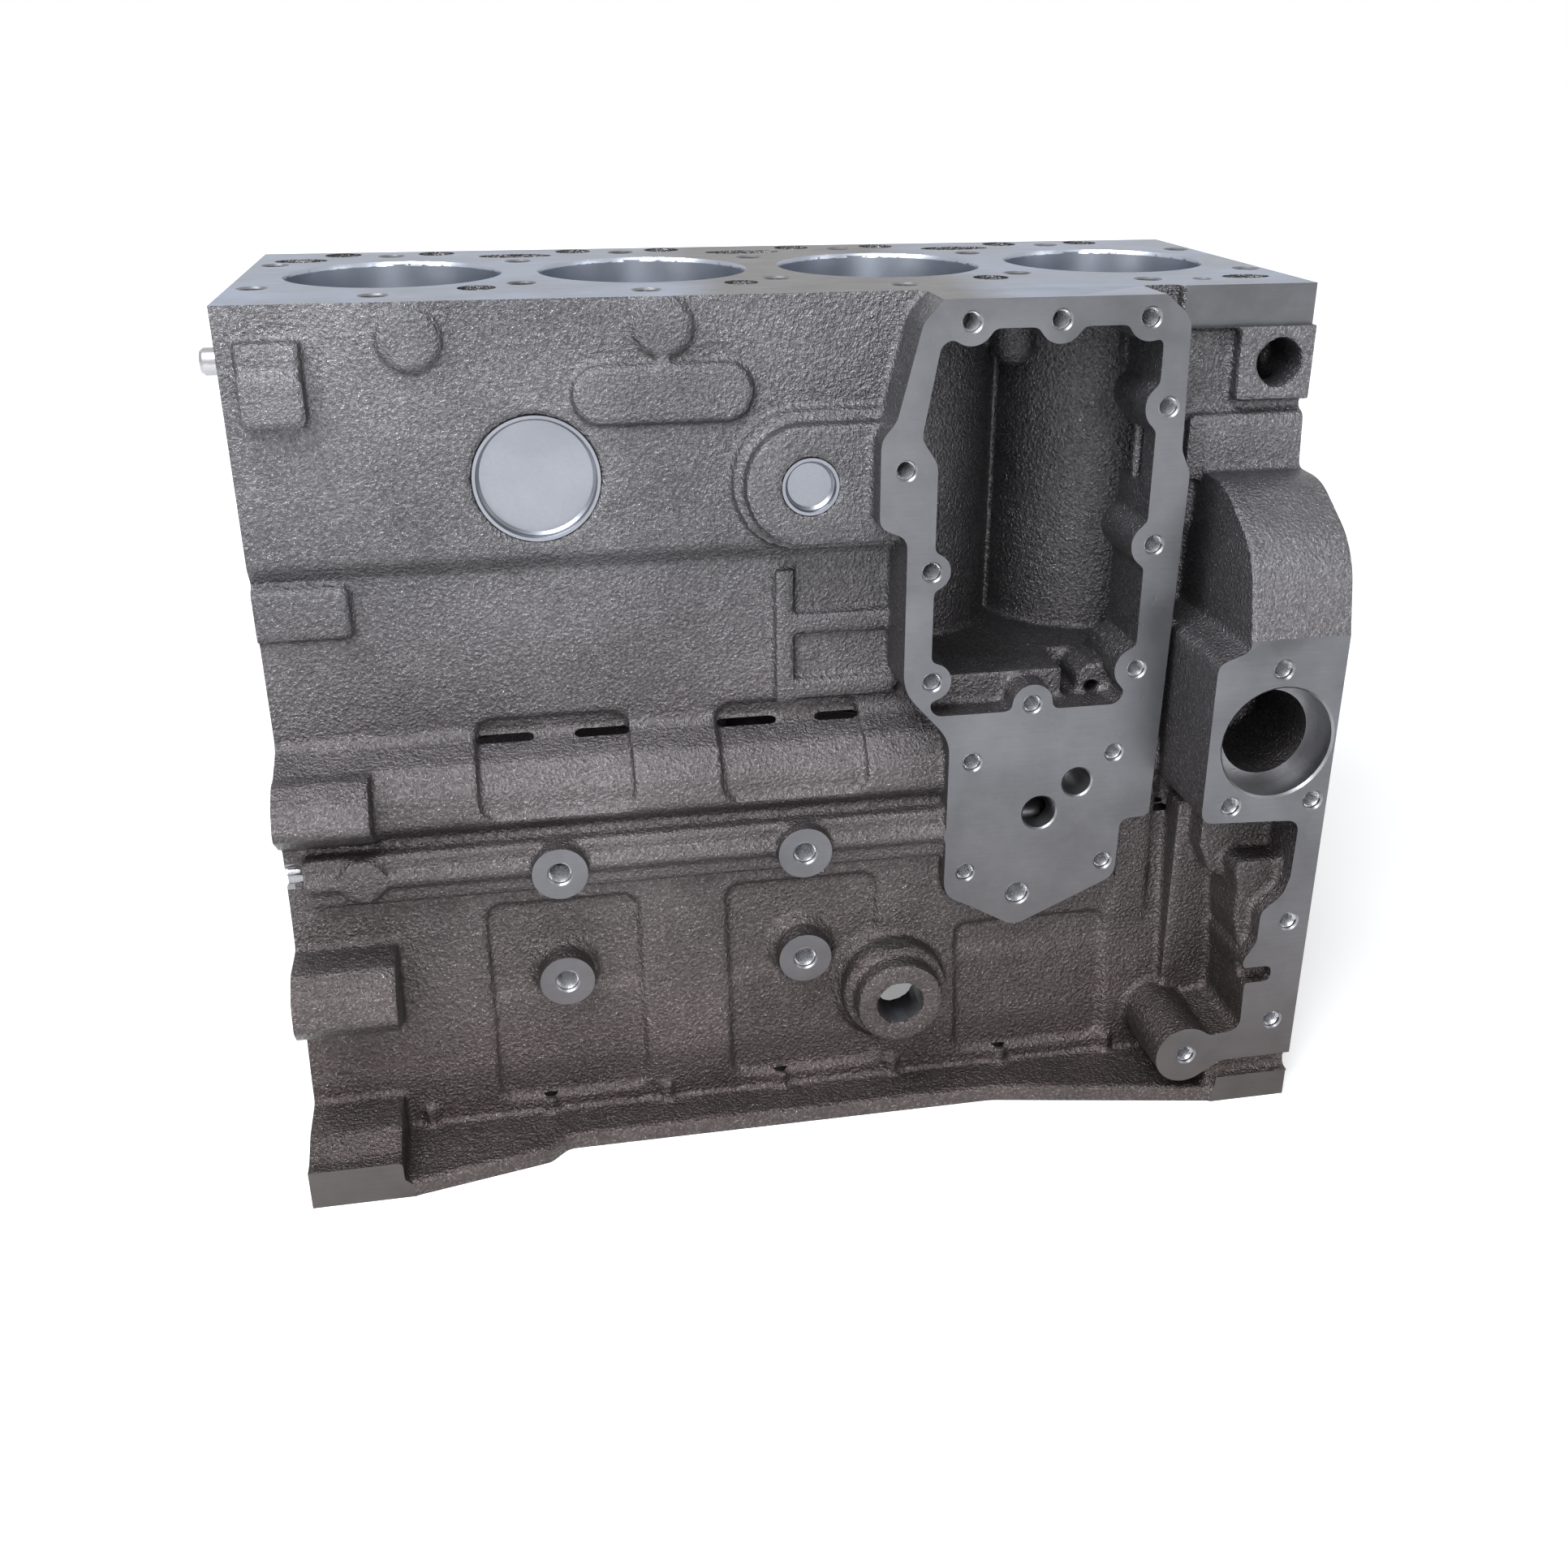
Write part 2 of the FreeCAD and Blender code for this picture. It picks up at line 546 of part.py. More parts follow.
# Tappet chamber behind the cover flange, with the same bolt columns.
chamber_side = size["jacket_far"] + 8
chamber_floor = size["chamber_floor"]
chamber_outline = [(chamber_side, chamber_floor, 4), (far + 9, chamber_floor, 6), (far - 6, chamber_floor + 38, 6),
                   (far - 6, deck - size["deck_thick"], 0), (chamber_side, deck - size["deck_thick"], 0)]
chamber_room = prism("chamber_room", chamber_outline, "x", "-$rear_length + 39", LENGTH + " - 76.5")
spaces_chamber = cut("tappet_chamber", chamber_room, fuse("chamber_columns", [
    rod("chamber_column_%d" % step, "z", (cylinder_x(step) + " - $head_middle_shift", "$head_middle_y",
                                          "$chamber_floor - 5"), "$column_dia", "150") for step in range(4)]))
windows = []
for index, step in enumerate((-1, 1)):
    window = rectangle(step * (pitch - 14) - 94, step * (pitch - 14) + 94, deck - 91, deck - 26, 12)
    windows.append(prism("cover_window_%d" % index, window, "y", "$far_wall - 10", "$cover_proud + 15"))

# Oil cooler cavity: the lobes of the flange bolts stand into it.
cavity_left = pitch - size["cavity_left"]
cavity_right = pitch + size["cavity_right"]
cavity_low = size["cavity_low"]
cavity_high = size["cavity_high"]
cavity_outline = [
    (cavity_left, cavity_low, 6), (cavity_right - 6, cavity_low, 6), (cavity_right, cavity_low + 30, 6),
    (cavity_right, cavity_high - 7, 5), (cavity_right - 12, cavity_high, 4), (cavity_left + 12, cavity_high, 4),
    (cavity_left - 0.5, cavity_high - 7, 4), (cavity_left - 8, deck - 61, 6), (cavity_left, deck - 73, 8),
]
cavity_prism = prism("cavity_prism", cavity_outline, "y", "-$cooler_face - 5", "$cooler_face - $jacket_near + 8")
cooler_bolts = [
    (pitch - 46.9, deck - 10, 10.6), (pitch - 5.4, deck - 10, 10.6), (pitch + 36.6, deck - 10, 10.6),
    (pitch + 48.8, deck - 50.5, 11.5), (pitch + 47.8, deck - 116, 11.5), (pitch + 44.7, 144, 11.5),
    (pitch - 8, 129, 10.4), (pitch - 59.5, 144, 9.6), (pitch - 61.4, deck - 123.8, 9.2),
    (pitch - 75, deck - 75.2, 0), (pitch - 37.3, 100, 0), (pitch + 36.6, 99.8, 0), (pitch - 38.4, 38.5, 0),
    (pitch + 35.4, 38.5, 0),
]
lobes = []
for index, (bolt_x, bolt_z, lobe) in enumerate(cooler_bolts):
    if lobe > 0:
        lobes.append(rod("cavity_lobe_%d" % index, "y", (text(bolt_x), "-$cooler_face - 6", text(bolt_z)),
                         text(2 * lobe), "$cooler_face - $jacket_near + 12"))
lobes.append(slab("cavity_ledge", ("$bore_pitch - 70", "$bore_pitch + 12"), ("-114", "-$jacket_near + 4"),
                  ("$cavity_low - 6", "$jacket_floor")))
drain_boss = [(pitch + 21, 118, 0), (pitch + 37, 118, 0), (pitch + 37, 136, 3), (pitch + 29, 143, 4), (pitch + 21, 136, 3)]
lobes.append(prism("drain_boss", drain_boss, "y", "-112", "30"))
cavity = cut("cooler_cavity", cavity_prism, fuse("cavity_lobes", lobes))
spaces.append(rod("cavity_drain", "y", ("$bore_pitch + 29", "-115", "129"), "7", "22"))

# Pump volute, inlet counterbore and the way from the volute into the jacket.
spaces.append(rod("volute", "x", ("$front_length - $volute_depth", "-$volute_y", "$volute_z"),
                  "$volute_dia", "$volute_depth + 5"))
spaces.append(rod("inlet_bore", "y", ("$inlet_x", "-$pad_face - 5", "$inlet_z"), "$inlet_dia", "5 + $inlet_step_depth"))
spaces.append(rod("inlet_throat", "y", ("$inlet_x", "-$pad_face", "$inlet_z"), "$inlet_step_dia", "70"))
spaces.append(slab("inlet_rise", ("$inlet_x - 14", "$inlet_x + 14"), ("-$volute_y - 20", "-$volute_y + 20"),
                   ("$inlet_z", "$volute_z")))
spaces.append(slab("volute_way", ("$front_length - $volute_depth", "$front_length - $jacket_end"),
                   ("-$volute_y + 20", "-$jacket_near + 8"), ("$volute_z - 18", "$volute_z + 18")))

# Camshaft tunnel, tappet bores and the main oil gallery.
spaces.append(rod("cam_tunnel", "x", ("-$rear_length - 5", "$cam_y", "$cam_z"), "$cam_tunnel_dia", LENGTH + " + 10"))
spaces.append(rod("cam_bush_seat", "x", ("$front_length - $cam_bush_width", "$cam_y", "$cam_z"),
                  "$cam_bush_dia", "$cam_bush_width + 5"))
spaces.append(rod("cam_plug_seat", "x", ("-$rear_length - 5", "$cam_y", "$cam_z"), "$plug_large_dia", "$plug_depth + 5"))
pushrods = []
for step in range(4):
    for sign in ("-", "+"):
        pushrods.append("%s - $valve_shift %s $valve_half_gap" % (cylinder_x(step), sign))
for index, rod_x in enumerate(pushrods):
    spaces.append(rod("tappet_bore_%d" % index, "z", (rod_x, "$pushrod_y", "$cam_z"), "$tappet_dia",
                      "$chamber_floor - $cam_z + 3"))
    spaces.append(rod("pushrod_hole_%d" % index, "z", (rod_x, "$pushrod_y", "$deck_height - $deck_thick - 5"),
                      "$pushrod_dia", "$deck_thick + 10"))
spaces.append(rod("gallery", "x", ("-$rear_length - 5", "-$gallery_y", "$oil_rail_z"), "$gallery_dia", LENGTH + " + 5"))

# Flat recesses of the band and of the lower wall.
depth = size["panel_depth"]
skin = [(-170, 128, 0), (-recess + 2, 128, 0), (-recess + depth, waist_low - 2, 6),
        (-band + 12.0 + depth, waist_low - 9.0, 6), (-band + 2.0 + depth, waist_low - 20.0, 8),
        (-band + depth, 84.5, 3), (-band + depth, 80, 0), (-band + 18 + depth, 42, 2), (-band + 18 + depth, 39, 0),
        (-skirt_near + 4.0 + depth, -14.0, 30), (-skirt_near + depth, -50.0, 30), (-skirt_near + depth, -76, 0), (-170, -76, 0)]
skin_prism = prism("panel_skin", skin, "x", REAR, LENGTH)
panel_frames = [
    rectangle(-pitch - 38, -pitch + 36.5, 84.5, 126, 9), rectangle(-41, 32, 84.5, 126, 9),
    rectangle(-pitch - 40, -pitch + 35.5, -70, 38, 9), rectangle(-41, 38, -70, 38, 9),
    rectangle(pitch - 41, pitch + 42.5, -70, 5, 9),
]
panel_prisms = [prism("panel_%d" % i, frame, "y", "-170", "100") for i, frame in enumerate(panel_frames)]
kept = fuse("panel_keep", [
    rod("panel_boss_%d" % i, "y", (x, "-$boss_face - 50", z), "$boss_dia + 5", "120")
    for i, (x, z) in enumerate(boss_places)] + [
    rod("panel_tube", "y", (TUBE_X, "-$tube_boss_face - 40", TUBE_Z), "$tube_boss_dia + 16", "120"),
    slab("panel_cooler", ("$bore_pitch - 52", "$bore_pitch + 43"), ("-$cooler_face - 40", "-60"), ("4.5", "30"))])
panels = cut("panels", common("panel_common", skin_prism, fuse("panel_prisms", panel_prisms)), kept)

# ------------------------------------------------------------------ drilled holes
drilled = []
for index, (bolt_x, bolt_y) in enumerate(head_corner + head_middle):
    drilled.append(rod("head_bolt_%d" % index, "z", (bolt_x, bolt_y, "$deck_height - $head_bolt_depth"),
                       "$head_bolt_dia", "$head_bolt_depth + 5"))
deck_holes = [(-pitch - 20.5, -58.5, 13.0), (-19.0, -58.5, 13.0), (pitch - 18.0, -58.5, 13.0),
              (1.5 * pitch + 21.0, -80.5, 8.0)]
for index, (hole_x, hole_y, hole_dia) in enumerate(deck_holes):
    drilled.append(rod("coolant_hole_%d" % index, "z", (text(hole_x), text(hole_y), "$deck_height - $deck_thick - 4"),
                       text(hole_dia), "$deck_thick + 10"))
deck_slots = [(-rear + 23.0, 60.0, 10.0, 5.0), (-pitch, 67.5, 18.0, 3.8), (0.0, 67.5, 18.0, 3.8),
              (pitch, 67.5, 18.0, 3.8), (front - 22.5, -75.0, 8.0, 4.0)]
for index, (slot_x, slot_y, half, wide) in enumerate(deck_slots):
    slot = [(slot_x - half, slot_y - wide, wide), (slot_x + half, slot_y - wide, wide),
            (slot_x + half, slot_y + wide, wide), (slot_x - half, slot_y + wide, wide)]
    drilled.append(prism("coolant_slot_%d" % index, slot, "z", "$deck_height - $deck_thick - 4", "$deck_thick + 10"))
for index, (bolt_x, bolt_z, lobe) in enumerate(cooler_bolts):
    drilled.append(rod("cooler_bolt_%d" % index, "y", (text(bolt_x), "-$cooler_face - 5", text(bolt_z)),
                       "$cooler_bolt_dia", "$cooler_bolt_depth + 5"))
for index, (port_x, port_z, port_dia) in enumerate([(pitch + 18.2, 84.7, 15.0), (pitch - 0.8, 69.2, 17.4),
                                                       (pitch - 9.9, 23.7, 11.6)]):
    drilled.append(rod("cooler_port_%d" % index, "y", (text(port_x), "-$cooler_face - 5", text(port_z)),
                       text(port_dia), "$cooler_face - $gallery_y + 8"))
for index, (bolt_x, bolt_z) in enumerate([(front - 31.5, 157.6), (front - 50.2, 88.0), (front - 7.5, 88.0),
                                          (front - 11.0, 20.4), (front - 12.5, -38.2), (front - 58.5, -54.4)]):
    drilled.append(rod("pad_bolt_%d" % index, "y", (text(bolt_x), "-$pad_face - 5", text(bolt_z)), "9", "27"))
for index, (boss_x, boss_z) in enumerate(boss_places):
    drilled.append(rod("tapping_%d" % index, "y", (boss_x, "-$boss_face - 5", boss_z), "$boss_hole_dia", "30"))
drilled.append(rod("tube_hole", "y", (TUBE_X, "-$tube_boss_face - 5", TUBE_Z), "$tube_hole_dia", "50"))
drilled.append(rod("port_hole", "y", ("$front_length - 16.5", "-$near_wall - 12", "$deck_height - 36"), "22.6", "40"))
drilled.append(slab("strip_slot", ("$front_length - 33.5", "$front_length - 17"), ("-$pad_face - 5", "-$pad_face + 9"), ("-14", "-5")))
LARGE_X = "-$bore_pitch"
LARGE_Z = "$deck_height - 79.5"
SMALL_X = text(plug_small_x)
SMALL_Z = text(plug_small_z)
drilled.append(rod("large_plug_seat", "y", (LARGE_X, "-$near_wall - 5", LARGE_Z), "$plug_large_dia", "30"))
drilled.append(rod("small_plug_seat", "y", (SMALL_X, "-$plug_boss_face - 5", SMALL_Z), "$plug_small_dia", "45"))
for sign in ("-", ""):
    for index in range(7):
        drilled.append(rod("pan_bolt_%s%d" % ("near_" if sign else "far_", index), "z",
                           ("-$pan_bolt_start + %d * $pan_bolt_pitch" % index, sign + "$pan_bolt_y",
                            "-$rail_depth - 5"), "$pan_bolt_dia", "$pan_bolt_depth + 5"))
    for step in range(-2, 3):
        here = "%s_%d" % ("near" if sign else "far", step + 2)
        drilled.append(rod("cap_thread_" + here, "z", (station(step), sign + "$cap_bolt_y", "-1"),
                           "$cap_bolt_dia", "$cap_thread + 1"))
        drilled.append(rod("ring_seat_" + here, "z", (station(step), sign + "$cap_bolt_y", "-1"),
                           "$ring_dia", "$ring_depth + 1"))
drilled.append(rod("rear_plug_seat", "x", ("-$rear_length - 5", "0", "$deck_height - 95"), "$plug_large_dia", "20"))
for index, (bolt_y, bolt_z) in enumerate(rear_bolts):
    drilled.append(rod("rear_bolt_%d" % index, "x", ("-$rear_length - 5", text(bolt_y), text(bolt_z)),
                       "$face_bolt_dia", "$face_bolt_depth + 5"))
for index, (bolt_y, bolt_z) in enumerate(front_bolts):
    drilled.append(rod("front_bolt_%d" % index, "x", ("$front_length - $face_bolt_depth", text(bolt_y), text(bolt_z)),
                       "$face_bolt_dia", "$face_bolt_depth + 5"))
for index, (pin_y, pin_z) in enumerate(REAR_PINS):
    drilled.append(rod("rear_pin_seat_%d" % index, "x", ("-$rear_length - 5", text(pin_y), text(pin_z)),
                       "$pin_dia", "$pin_depth + 5"))
for index, (pin_y, pin_z) in enumerate(FRONT_PINS):
    drilled.append(rod("front_pin_seat_%d" % index, "x", ("$front_length - $pin_depth", text(pin_y), text(pin_z)),
                       "$pin_dia", "$pin_depth + 5"))
inner = fuse("spaces", spaces + [jacket, spaces_chamber, cavity, panels] + windows)
hollowed = cut("hollowed_casting", outer, inner)
block = cut("cylinder_block", hollowed, fuse("drillings", drilled))
block.Label = "cylinder_block"
doc.recompute()

# ------------------------------------------------------------- separate pieces
def origin_plane(body, role):
    """One of the body's own origin planes."""
    for feature in body.Origin.OriginFeatures:
        if feature.Role == role:
            return feature
    raise ValueError(role)


def profile(body, name, role, corners):
    """Closed sketch on an origin plane with every corner bound to the sheet."""
    sketch = body.newObject("Sketcher::SketchObject", name)
    sketch.AttachmentSupport = [(origin_plane(body, role), "")]
    sketch.MapMode = "FlatFace"
    spots = []
    for across, along in corners:
        spots.append(FreeCAD.Vector(number(across), number(along), 0))
    for index, spot in enumerate(spots):
        following = spots[(index + 1) % len(spots)]
        sketch.addGeometry(Part.LineSegment(spot, following), False)
    for index in range(len(spots)):
        sketch.addConstraint(Sketcher.Constraint("Coincident", index, 2, (index + 1) % len(spots), 1))
    for index, (across, along) in enumerate(corners):
        for kind, words, at in (("DistanceX", across, spots[index].x), ("DistanceY", along, spots[index].y)):
            row = sketch.addConstraint(Sketcher.Constraint(kind, -1, 1, index, 1, at))
            bind(sketch, "Constraints[%d]" % row, words)
    return sketch


def number(words):
    """Value of a bound text in millimetres."""
    found = sheet.evalExpression(spelled(words))
    return float(found)


def turned(body_name, corners):
    """Body of revolution about its own Z from (radius, height) corners."""
    body = doc.addObject("PartDesign::Body", body_name)
    sketch = profile(body, body_name + "_profile", "XZ_Plane", corners)
    turn = body.newObject("PartDesign::Revolution", body_name + "_turn")
    turn.Profile = sketch
    turn.ReferenceAxis = (sketch, ["V_Axis"])
    turn.Angle = 360
    body.Tip = turn
    return body


def padded(body_name, role, corners, reach, midplane):
    """Body padded from bound corners on one of its origin planes."""
    body = doc.addObject("PartDesign::Body", body_name)
    sketch = profile(body, body_name + "_profile", role, corners)
    pad_feature = body.newObject("PartDesign::Pad", body_name + "_pad")
    pad_feature.Profile = sketch
    bind(pad_feature, "Length", reach)
    pad_feature.Midplane = midplane
    body.Tip = pad_feature
    return body


def settle(item, label, place, turn):
    """Bind the placement of a sub-part and give it its label."""
    item.Label = label
    item.Placement = FreeCAD.Placement(FreeCAD.Vector(), turn)
    for letter, words in zip("xyz", place):
        bind(item, "Placement.Base." + letter, words)
    return item


def copies(label, body, spots, turn):
    """Group of equal solids of one body, one at each (x, y, z) text."""
    group = doc.addObject("Part::Feature", label)
    doc.recompute()
    solids_here = []
    for spot in spots:
        solid = body.Shape.copy()
        base = FreeCAD.Vector(number(spot[0]), number(spot[1]), number(spot[2]))
        solid.Placement = FreeCAD.Placement(base, turn)
        solids_here.append(solid)
    group.Shape = Part.makeCompound(solids_here)
    group.Label = label
    return group


def cup(name, diameter, height):
    """Pressed steel cup plug, open towards its own +Z."""
    edge = "(%s) / 2 - 0.04" % diameter
    return turned(name, [
        ("0", "0"), (edge + " - 1.6", "0"), (edge, "1.6"), (edge, height),
        (edge + " - 0.8 * $plug_sheet", height), (edge + " - $plug_sheet", height + " - 0.8"),
        (edge + " - $plug_sheet", "$plug_sheet + 1.4"), (edge + " - $plug_sheet - 1.4", "$plug_sheet"),
        ("0", "$plug_sheet")])


nodes = [block]
level = FreeCAD.Rotation()
to_near = FreeCAD.Rotation(X_AXIS, 90)
to_rear = FreeCAD.Rotation(Y_AXIS, -90)
to_front = FreeCAD.Rotation(Y_AXIS, 90)

# Main bearing caps: shoulders for the bolt heads, a deeper crown under the bore.
shoulder_y = "$main_dia / 2 - 8"
for step in range(-2, 3):
    name = "main_cap_%d" % (step + 3)
    body = padded("cap_stock_%d" % (step + 3), "YZ_Plane", [
        ("-$cap_half", "0"), ("$cap_half", "0"), ("$cap_half", "-$cap_seat + 3"), ("$cap_half - 3", "-$cap_seat"),
        (shoulder_y, "-$cap_seat"), (shoulder_y + " - 8", "-$cap_height"), ("-(%s - 8)" % shoulder_y, "-$cap_height"),
        ("-(%s)" % shoulder_y, "-$cap_seat"), ("-$cap_half + 3", "-$cap_seat"), ("-$cap_half", "-$cap_seat + 3"),
    ], "$cap_width", True)
    doc.recompute()
    tools = [rod(name + "_bore", "x", ("-$cap_width", "0", "0"), "$main_dia", "2 * $cap_width")]
    for sign in ("-", ""):
        tools.append(rod(name + "_bolt" + ("_near" if sign else "_far"), "z",
                         ("0", sign + "$cap_bolt_y", "-$cap_height - 5"), "$cap_bolt_dia", "$cap_height + 10"))
        tools.append(rod(name + "_ring" + ("_near" if sign else "_far"), "z",
                         ("0", sign + "$cap_bolt_y", "-$ring_depth"), "$ring_dia", "$ring_depth + 5"))
    cap = cut(name + "_machined", body, fuse(name + "_tools", tools))
    nodes.append(settle(cap, name, (station(step), "0", "0"), level))

# Cap bolts: shank into the saddle, washer face on the cap shoulder, hexagon head.
shank = "$cap_bolt_dia / 2 - 0.1"
bolt_turned = turned("cap_bolt_stock", [
    ("0", "0"), ("12", "0"), ("12", "2"), ("12", "2.5"), (shank, "2.5"),
    (shank, "$cap_seat + $cap_thread - 4"), (shank + " - 1.5", "$cap_seat + $cap_thread - 2"),
    ("0", "$cap_seat + $cap_thread - 2")])
hexagon = doc.addObject("Part::Prism", "cap_bolt_hexagon")
hexagon.Polygon = 6
bind(hexagon, "Circumradius", "$cap_bolt_dia * 0.79")
bind(hexagon, "Height", "$cap_bolt_dia * 0.75")
bind(hexagon, "Placement.Base.z", "-$cap_bolt_dia * 0.75")
bolt_shape = fuse("cap_bolt", [bolt_turned, hexagon])
bolt_spots = []
ring_spots = []
for step in range(-2, 3):
    for sign in ("-", ""):
        bolt_spots.append((station(step), sign + "$cap_bolt_y", "-$cap_seat - 2.5"))
        ring_spots.append((station(step), sign + "$cap_bolt_y", "0"))
nodes.append(copies("main_cap_bolts", bolt_shape, bolt_spots, level))

# Ring dowels round the cap bolts, half in the saddle and half in the cap.
ring_edge = "$ring_dia / 2 - 0.04"
ring_hole = "$cap_bolt_dia / 2 + 0.3"
ring = turned("ring_dowel", [
    (ring_hole, "-$ring_depth + 0.5"), (ring_edge, "-$ring_depth + 0.5"), (ring_edge, "$ring_depth - 0.5"),
    (ring_hole, "$ring_depth - 0.5")])
nodes.append(copies("cap_ring_dowels", ring, ring_spots, level))

# Core plugs of the water jacket and the camshaft plug at the flywheel end.
large = cup("large_cup", "$plug_large_dia", "7.5")
small = cup("small_cup", "$plug_small_dia", "6")
nodes.append(copies("large_core_plug", large, [(LARGE_X, "-$near_wall + 8", LARGE_Z)], to_near))
nodes.append(copies("small_core_plug", small, [(SMALL_X, "-$plug_boss_face + 6.5", SMALL_Z)], to_near))
nodes.append(copies("rear_core_plug", large, [("-$rear_length + 8", "0", "$deck_height - 95")], to_rear))
nodes.append(copies("camshaft_rear_plug", large, [("-$rear_length + 8.5", "$cam_y", "$cam_z")], to_rear))

# Camshaft bushing in the timing-end seat.
bush = turned("camshaft_bushing_ring", [
    ("$cam_dia / 2", "0"), ("$cam_bush_dia / 2 - 0.04", "0"), ("$cam_bush_dia / 2 - 0.04", "$cam_bush_width"),
    ("$cam_dia / 2", "$cam_bush_width")])
nodes.append(copies("camshaft_bushing", bush, [("$front_length - $cam_bush_width", "$cam_y", "$cam_z")], to_front))

# Socket plugs that close the main oil gallery at both ends.
gallery_turned = turned("gallery_plug_stock", [
    ("0", "0"), ("$gallery_dia / 2 - 1", "0"), ("$gallery_dia / 2 - 0.04", "1"),
    ("$gallery_dia / 2 - 0.04", "12"), ("0", "12")])
socket = doc.addObject("Part::Prism", "gallery_plug_socket")
socket.Polygon = 6
bind(socket, "Circumradius", "$gallery_dia * 0.3")
bind(socket, "Height", "8")
bind(socket, "Placement.Base.z", "6")
gallery_plug = cut("gallery_plug", gallery_turned, socket)
rear_gallery = copies("gallery_plug_rear", gallery_plug, [("-$rear_length + 13", "-$gallery_y", "$oil_rail_z")], to_rear)
front_gallery = copies("gallery_plug_front", gallery_plug, [("$front_length - 13", "-$gallery_y", "$oil_rail_z")], to_front)
nodes.append(rear_gallery)
nodes.append(front_gallery)

# Dowel pins of the flywheel housing and of the gear case.
pin = turned("dowel_pin", [
    ("0", "-$pin_depth + 0.5"), ("$pin_dia / 2 - 1", "-$pin_depth + 0.5"), ("$pin_dia / 2 - 0.04", "-$pin_depth + 1.5"),
    ("$pin_dia / 2 - 0.04", "$pin_proud - 1.5"), ("$pin_dia / 2 - 1.2", "$pin_proud"), ("0", "$pin_proud")])
nodes.append(copies("rear_dowel_pins", pin, [(REAR, text(a), text(b)) for a, b in REAR_PINS], to_rear))
nodes.append(copies("front_dowel_pins", pin, [("$front_length", text(a), text(b)) for a, b in FRONT_PINS], to_front))

doc.recompute()
for item in doc.Objects:
    for fault in ("Invalid", "Error"):
        if fault in item.State:
            raise RuntimeError("%s is %s" % (item.Name, fault))
os.makedirs("parts", exist_ok=True)
for item in nodes:
    if item.Shape.isNull() or not item.Shape.isValid():
        raise RuntimeError("%s has no valid shape" % item.Label)
    item.Shape.exportStep(os.path.join("parts", item.Label + ".step"))
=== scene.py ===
import math

import bmesh
import bpy
import numpy as np
from mathutils import Matrix, Vector
from mathutils.bvhtree import BVHTree


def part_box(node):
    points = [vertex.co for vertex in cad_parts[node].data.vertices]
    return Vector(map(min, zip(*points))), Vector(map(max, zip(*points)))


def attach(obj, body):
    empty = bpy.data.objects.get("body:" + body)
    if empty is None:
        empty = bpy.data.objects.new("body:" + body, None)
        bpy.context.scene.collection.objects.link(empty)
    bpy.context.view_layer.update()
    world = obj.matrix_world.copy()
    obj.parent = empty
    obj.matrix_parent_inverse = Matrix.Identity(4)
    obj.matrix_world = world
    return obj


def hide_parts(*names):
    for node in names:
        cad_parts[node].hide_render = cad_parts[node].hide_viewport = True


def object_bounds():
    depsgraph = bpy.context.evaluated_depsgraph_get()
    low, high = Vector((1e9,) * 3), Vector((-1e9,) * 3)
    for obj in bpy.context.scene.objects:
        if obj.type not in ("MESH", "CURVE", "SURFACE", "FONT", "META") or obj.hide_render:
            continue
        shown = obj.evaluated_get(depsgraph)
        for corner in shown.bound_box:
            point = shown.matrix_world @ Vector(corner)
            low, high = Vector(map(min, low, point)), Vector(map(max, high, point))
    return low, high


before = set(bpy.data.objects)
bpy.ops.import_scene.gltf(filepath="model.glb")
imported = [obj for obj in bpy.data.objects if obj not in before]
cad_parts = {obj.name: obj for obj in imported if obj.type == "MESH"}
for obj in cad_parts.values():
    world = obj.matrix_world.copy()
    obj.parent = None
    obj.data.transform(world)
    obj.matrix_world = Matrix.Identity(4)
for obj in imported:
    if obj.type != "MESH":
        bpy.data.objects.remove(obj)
frame_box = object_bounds()

# ---------------------------------------------------------------- cylinder block
# The block is one casting in grey iron, poured in sand and left with its grainy skin.
# The deck, both ends, the pan rail, the flange faces and the bosses are milled, and the
# bores and tapped holes are cut into the cast walls, so metal and skin meet at fresh edges.
MM = 0.001
SOFTNESS = 8.0


def new_group(name, takes, gives):
    """A shader group with named inputs (name, default) and outputs (name, kind)."""
    group = bpy.data.node_groups.new(name, "ShaderNodeTree")
    for label, kind, default in takes:
        made = group.interface.new_socket(name=label, in_out="INPUT", socket_type=kind)
        if default is not None:
            made.default_value = default
    for label, kind in gives:
        group.interface.new_socket(name=label, in_out="OUTPUT", socket_type=kind)
    return group, group.nodes.new("NodeGroupInput"), group.nodes.new("NodeGroupOutput")


def node(tree, kind, links=(), **values):
    """One node with its properties set, and its inputs set or linked by name."""
    made = tree.nodes.new(kind)
    for name, value in values.items():
        setattr(made, name, value)
    for name, value in dict(links).items():
        socket = made.inputs[name]
        if isinstance(value, bpy.types.NodeSocket):
            tree.links.new(value, socket)
        else:
            socket.default_value = value
    return made


def math_node(tree, operation, first, second=0.5, clamp=False):
    made = node(tree, "ShaderNodeMath", {0: first, 1: second}, operation=operation, use_clamp=clamp)
    return made.outputs[0]


def noise(tree, place, scale, detail=3.0, rough=0.55):
    return node(tree, "ShaderNodeTexNoise", {"Vector": place, "Scale": scale, "Detail": detail,
                                             "Roughness": rough}).outputs["Fac"]


def spread(tree, value, low, high, to_low=0.0, to_high=1.0):
    """A value stretched between two limits and clamped."""
    return node(tree, "ShaderNodeMapRange", {"Value": value, "From Min": low, "From Max": high,
                                             "To Min": to_low, "To Max": to_high}).outputs["Result"]


def mix(tree, factor, first, second, blend="MIX"):
    made = node(tree, "ShaderNodeMix", {0: factor, 6: first, 7: second}, data_type="RGBA", blend_type=blend)
    return made.outputs[2]


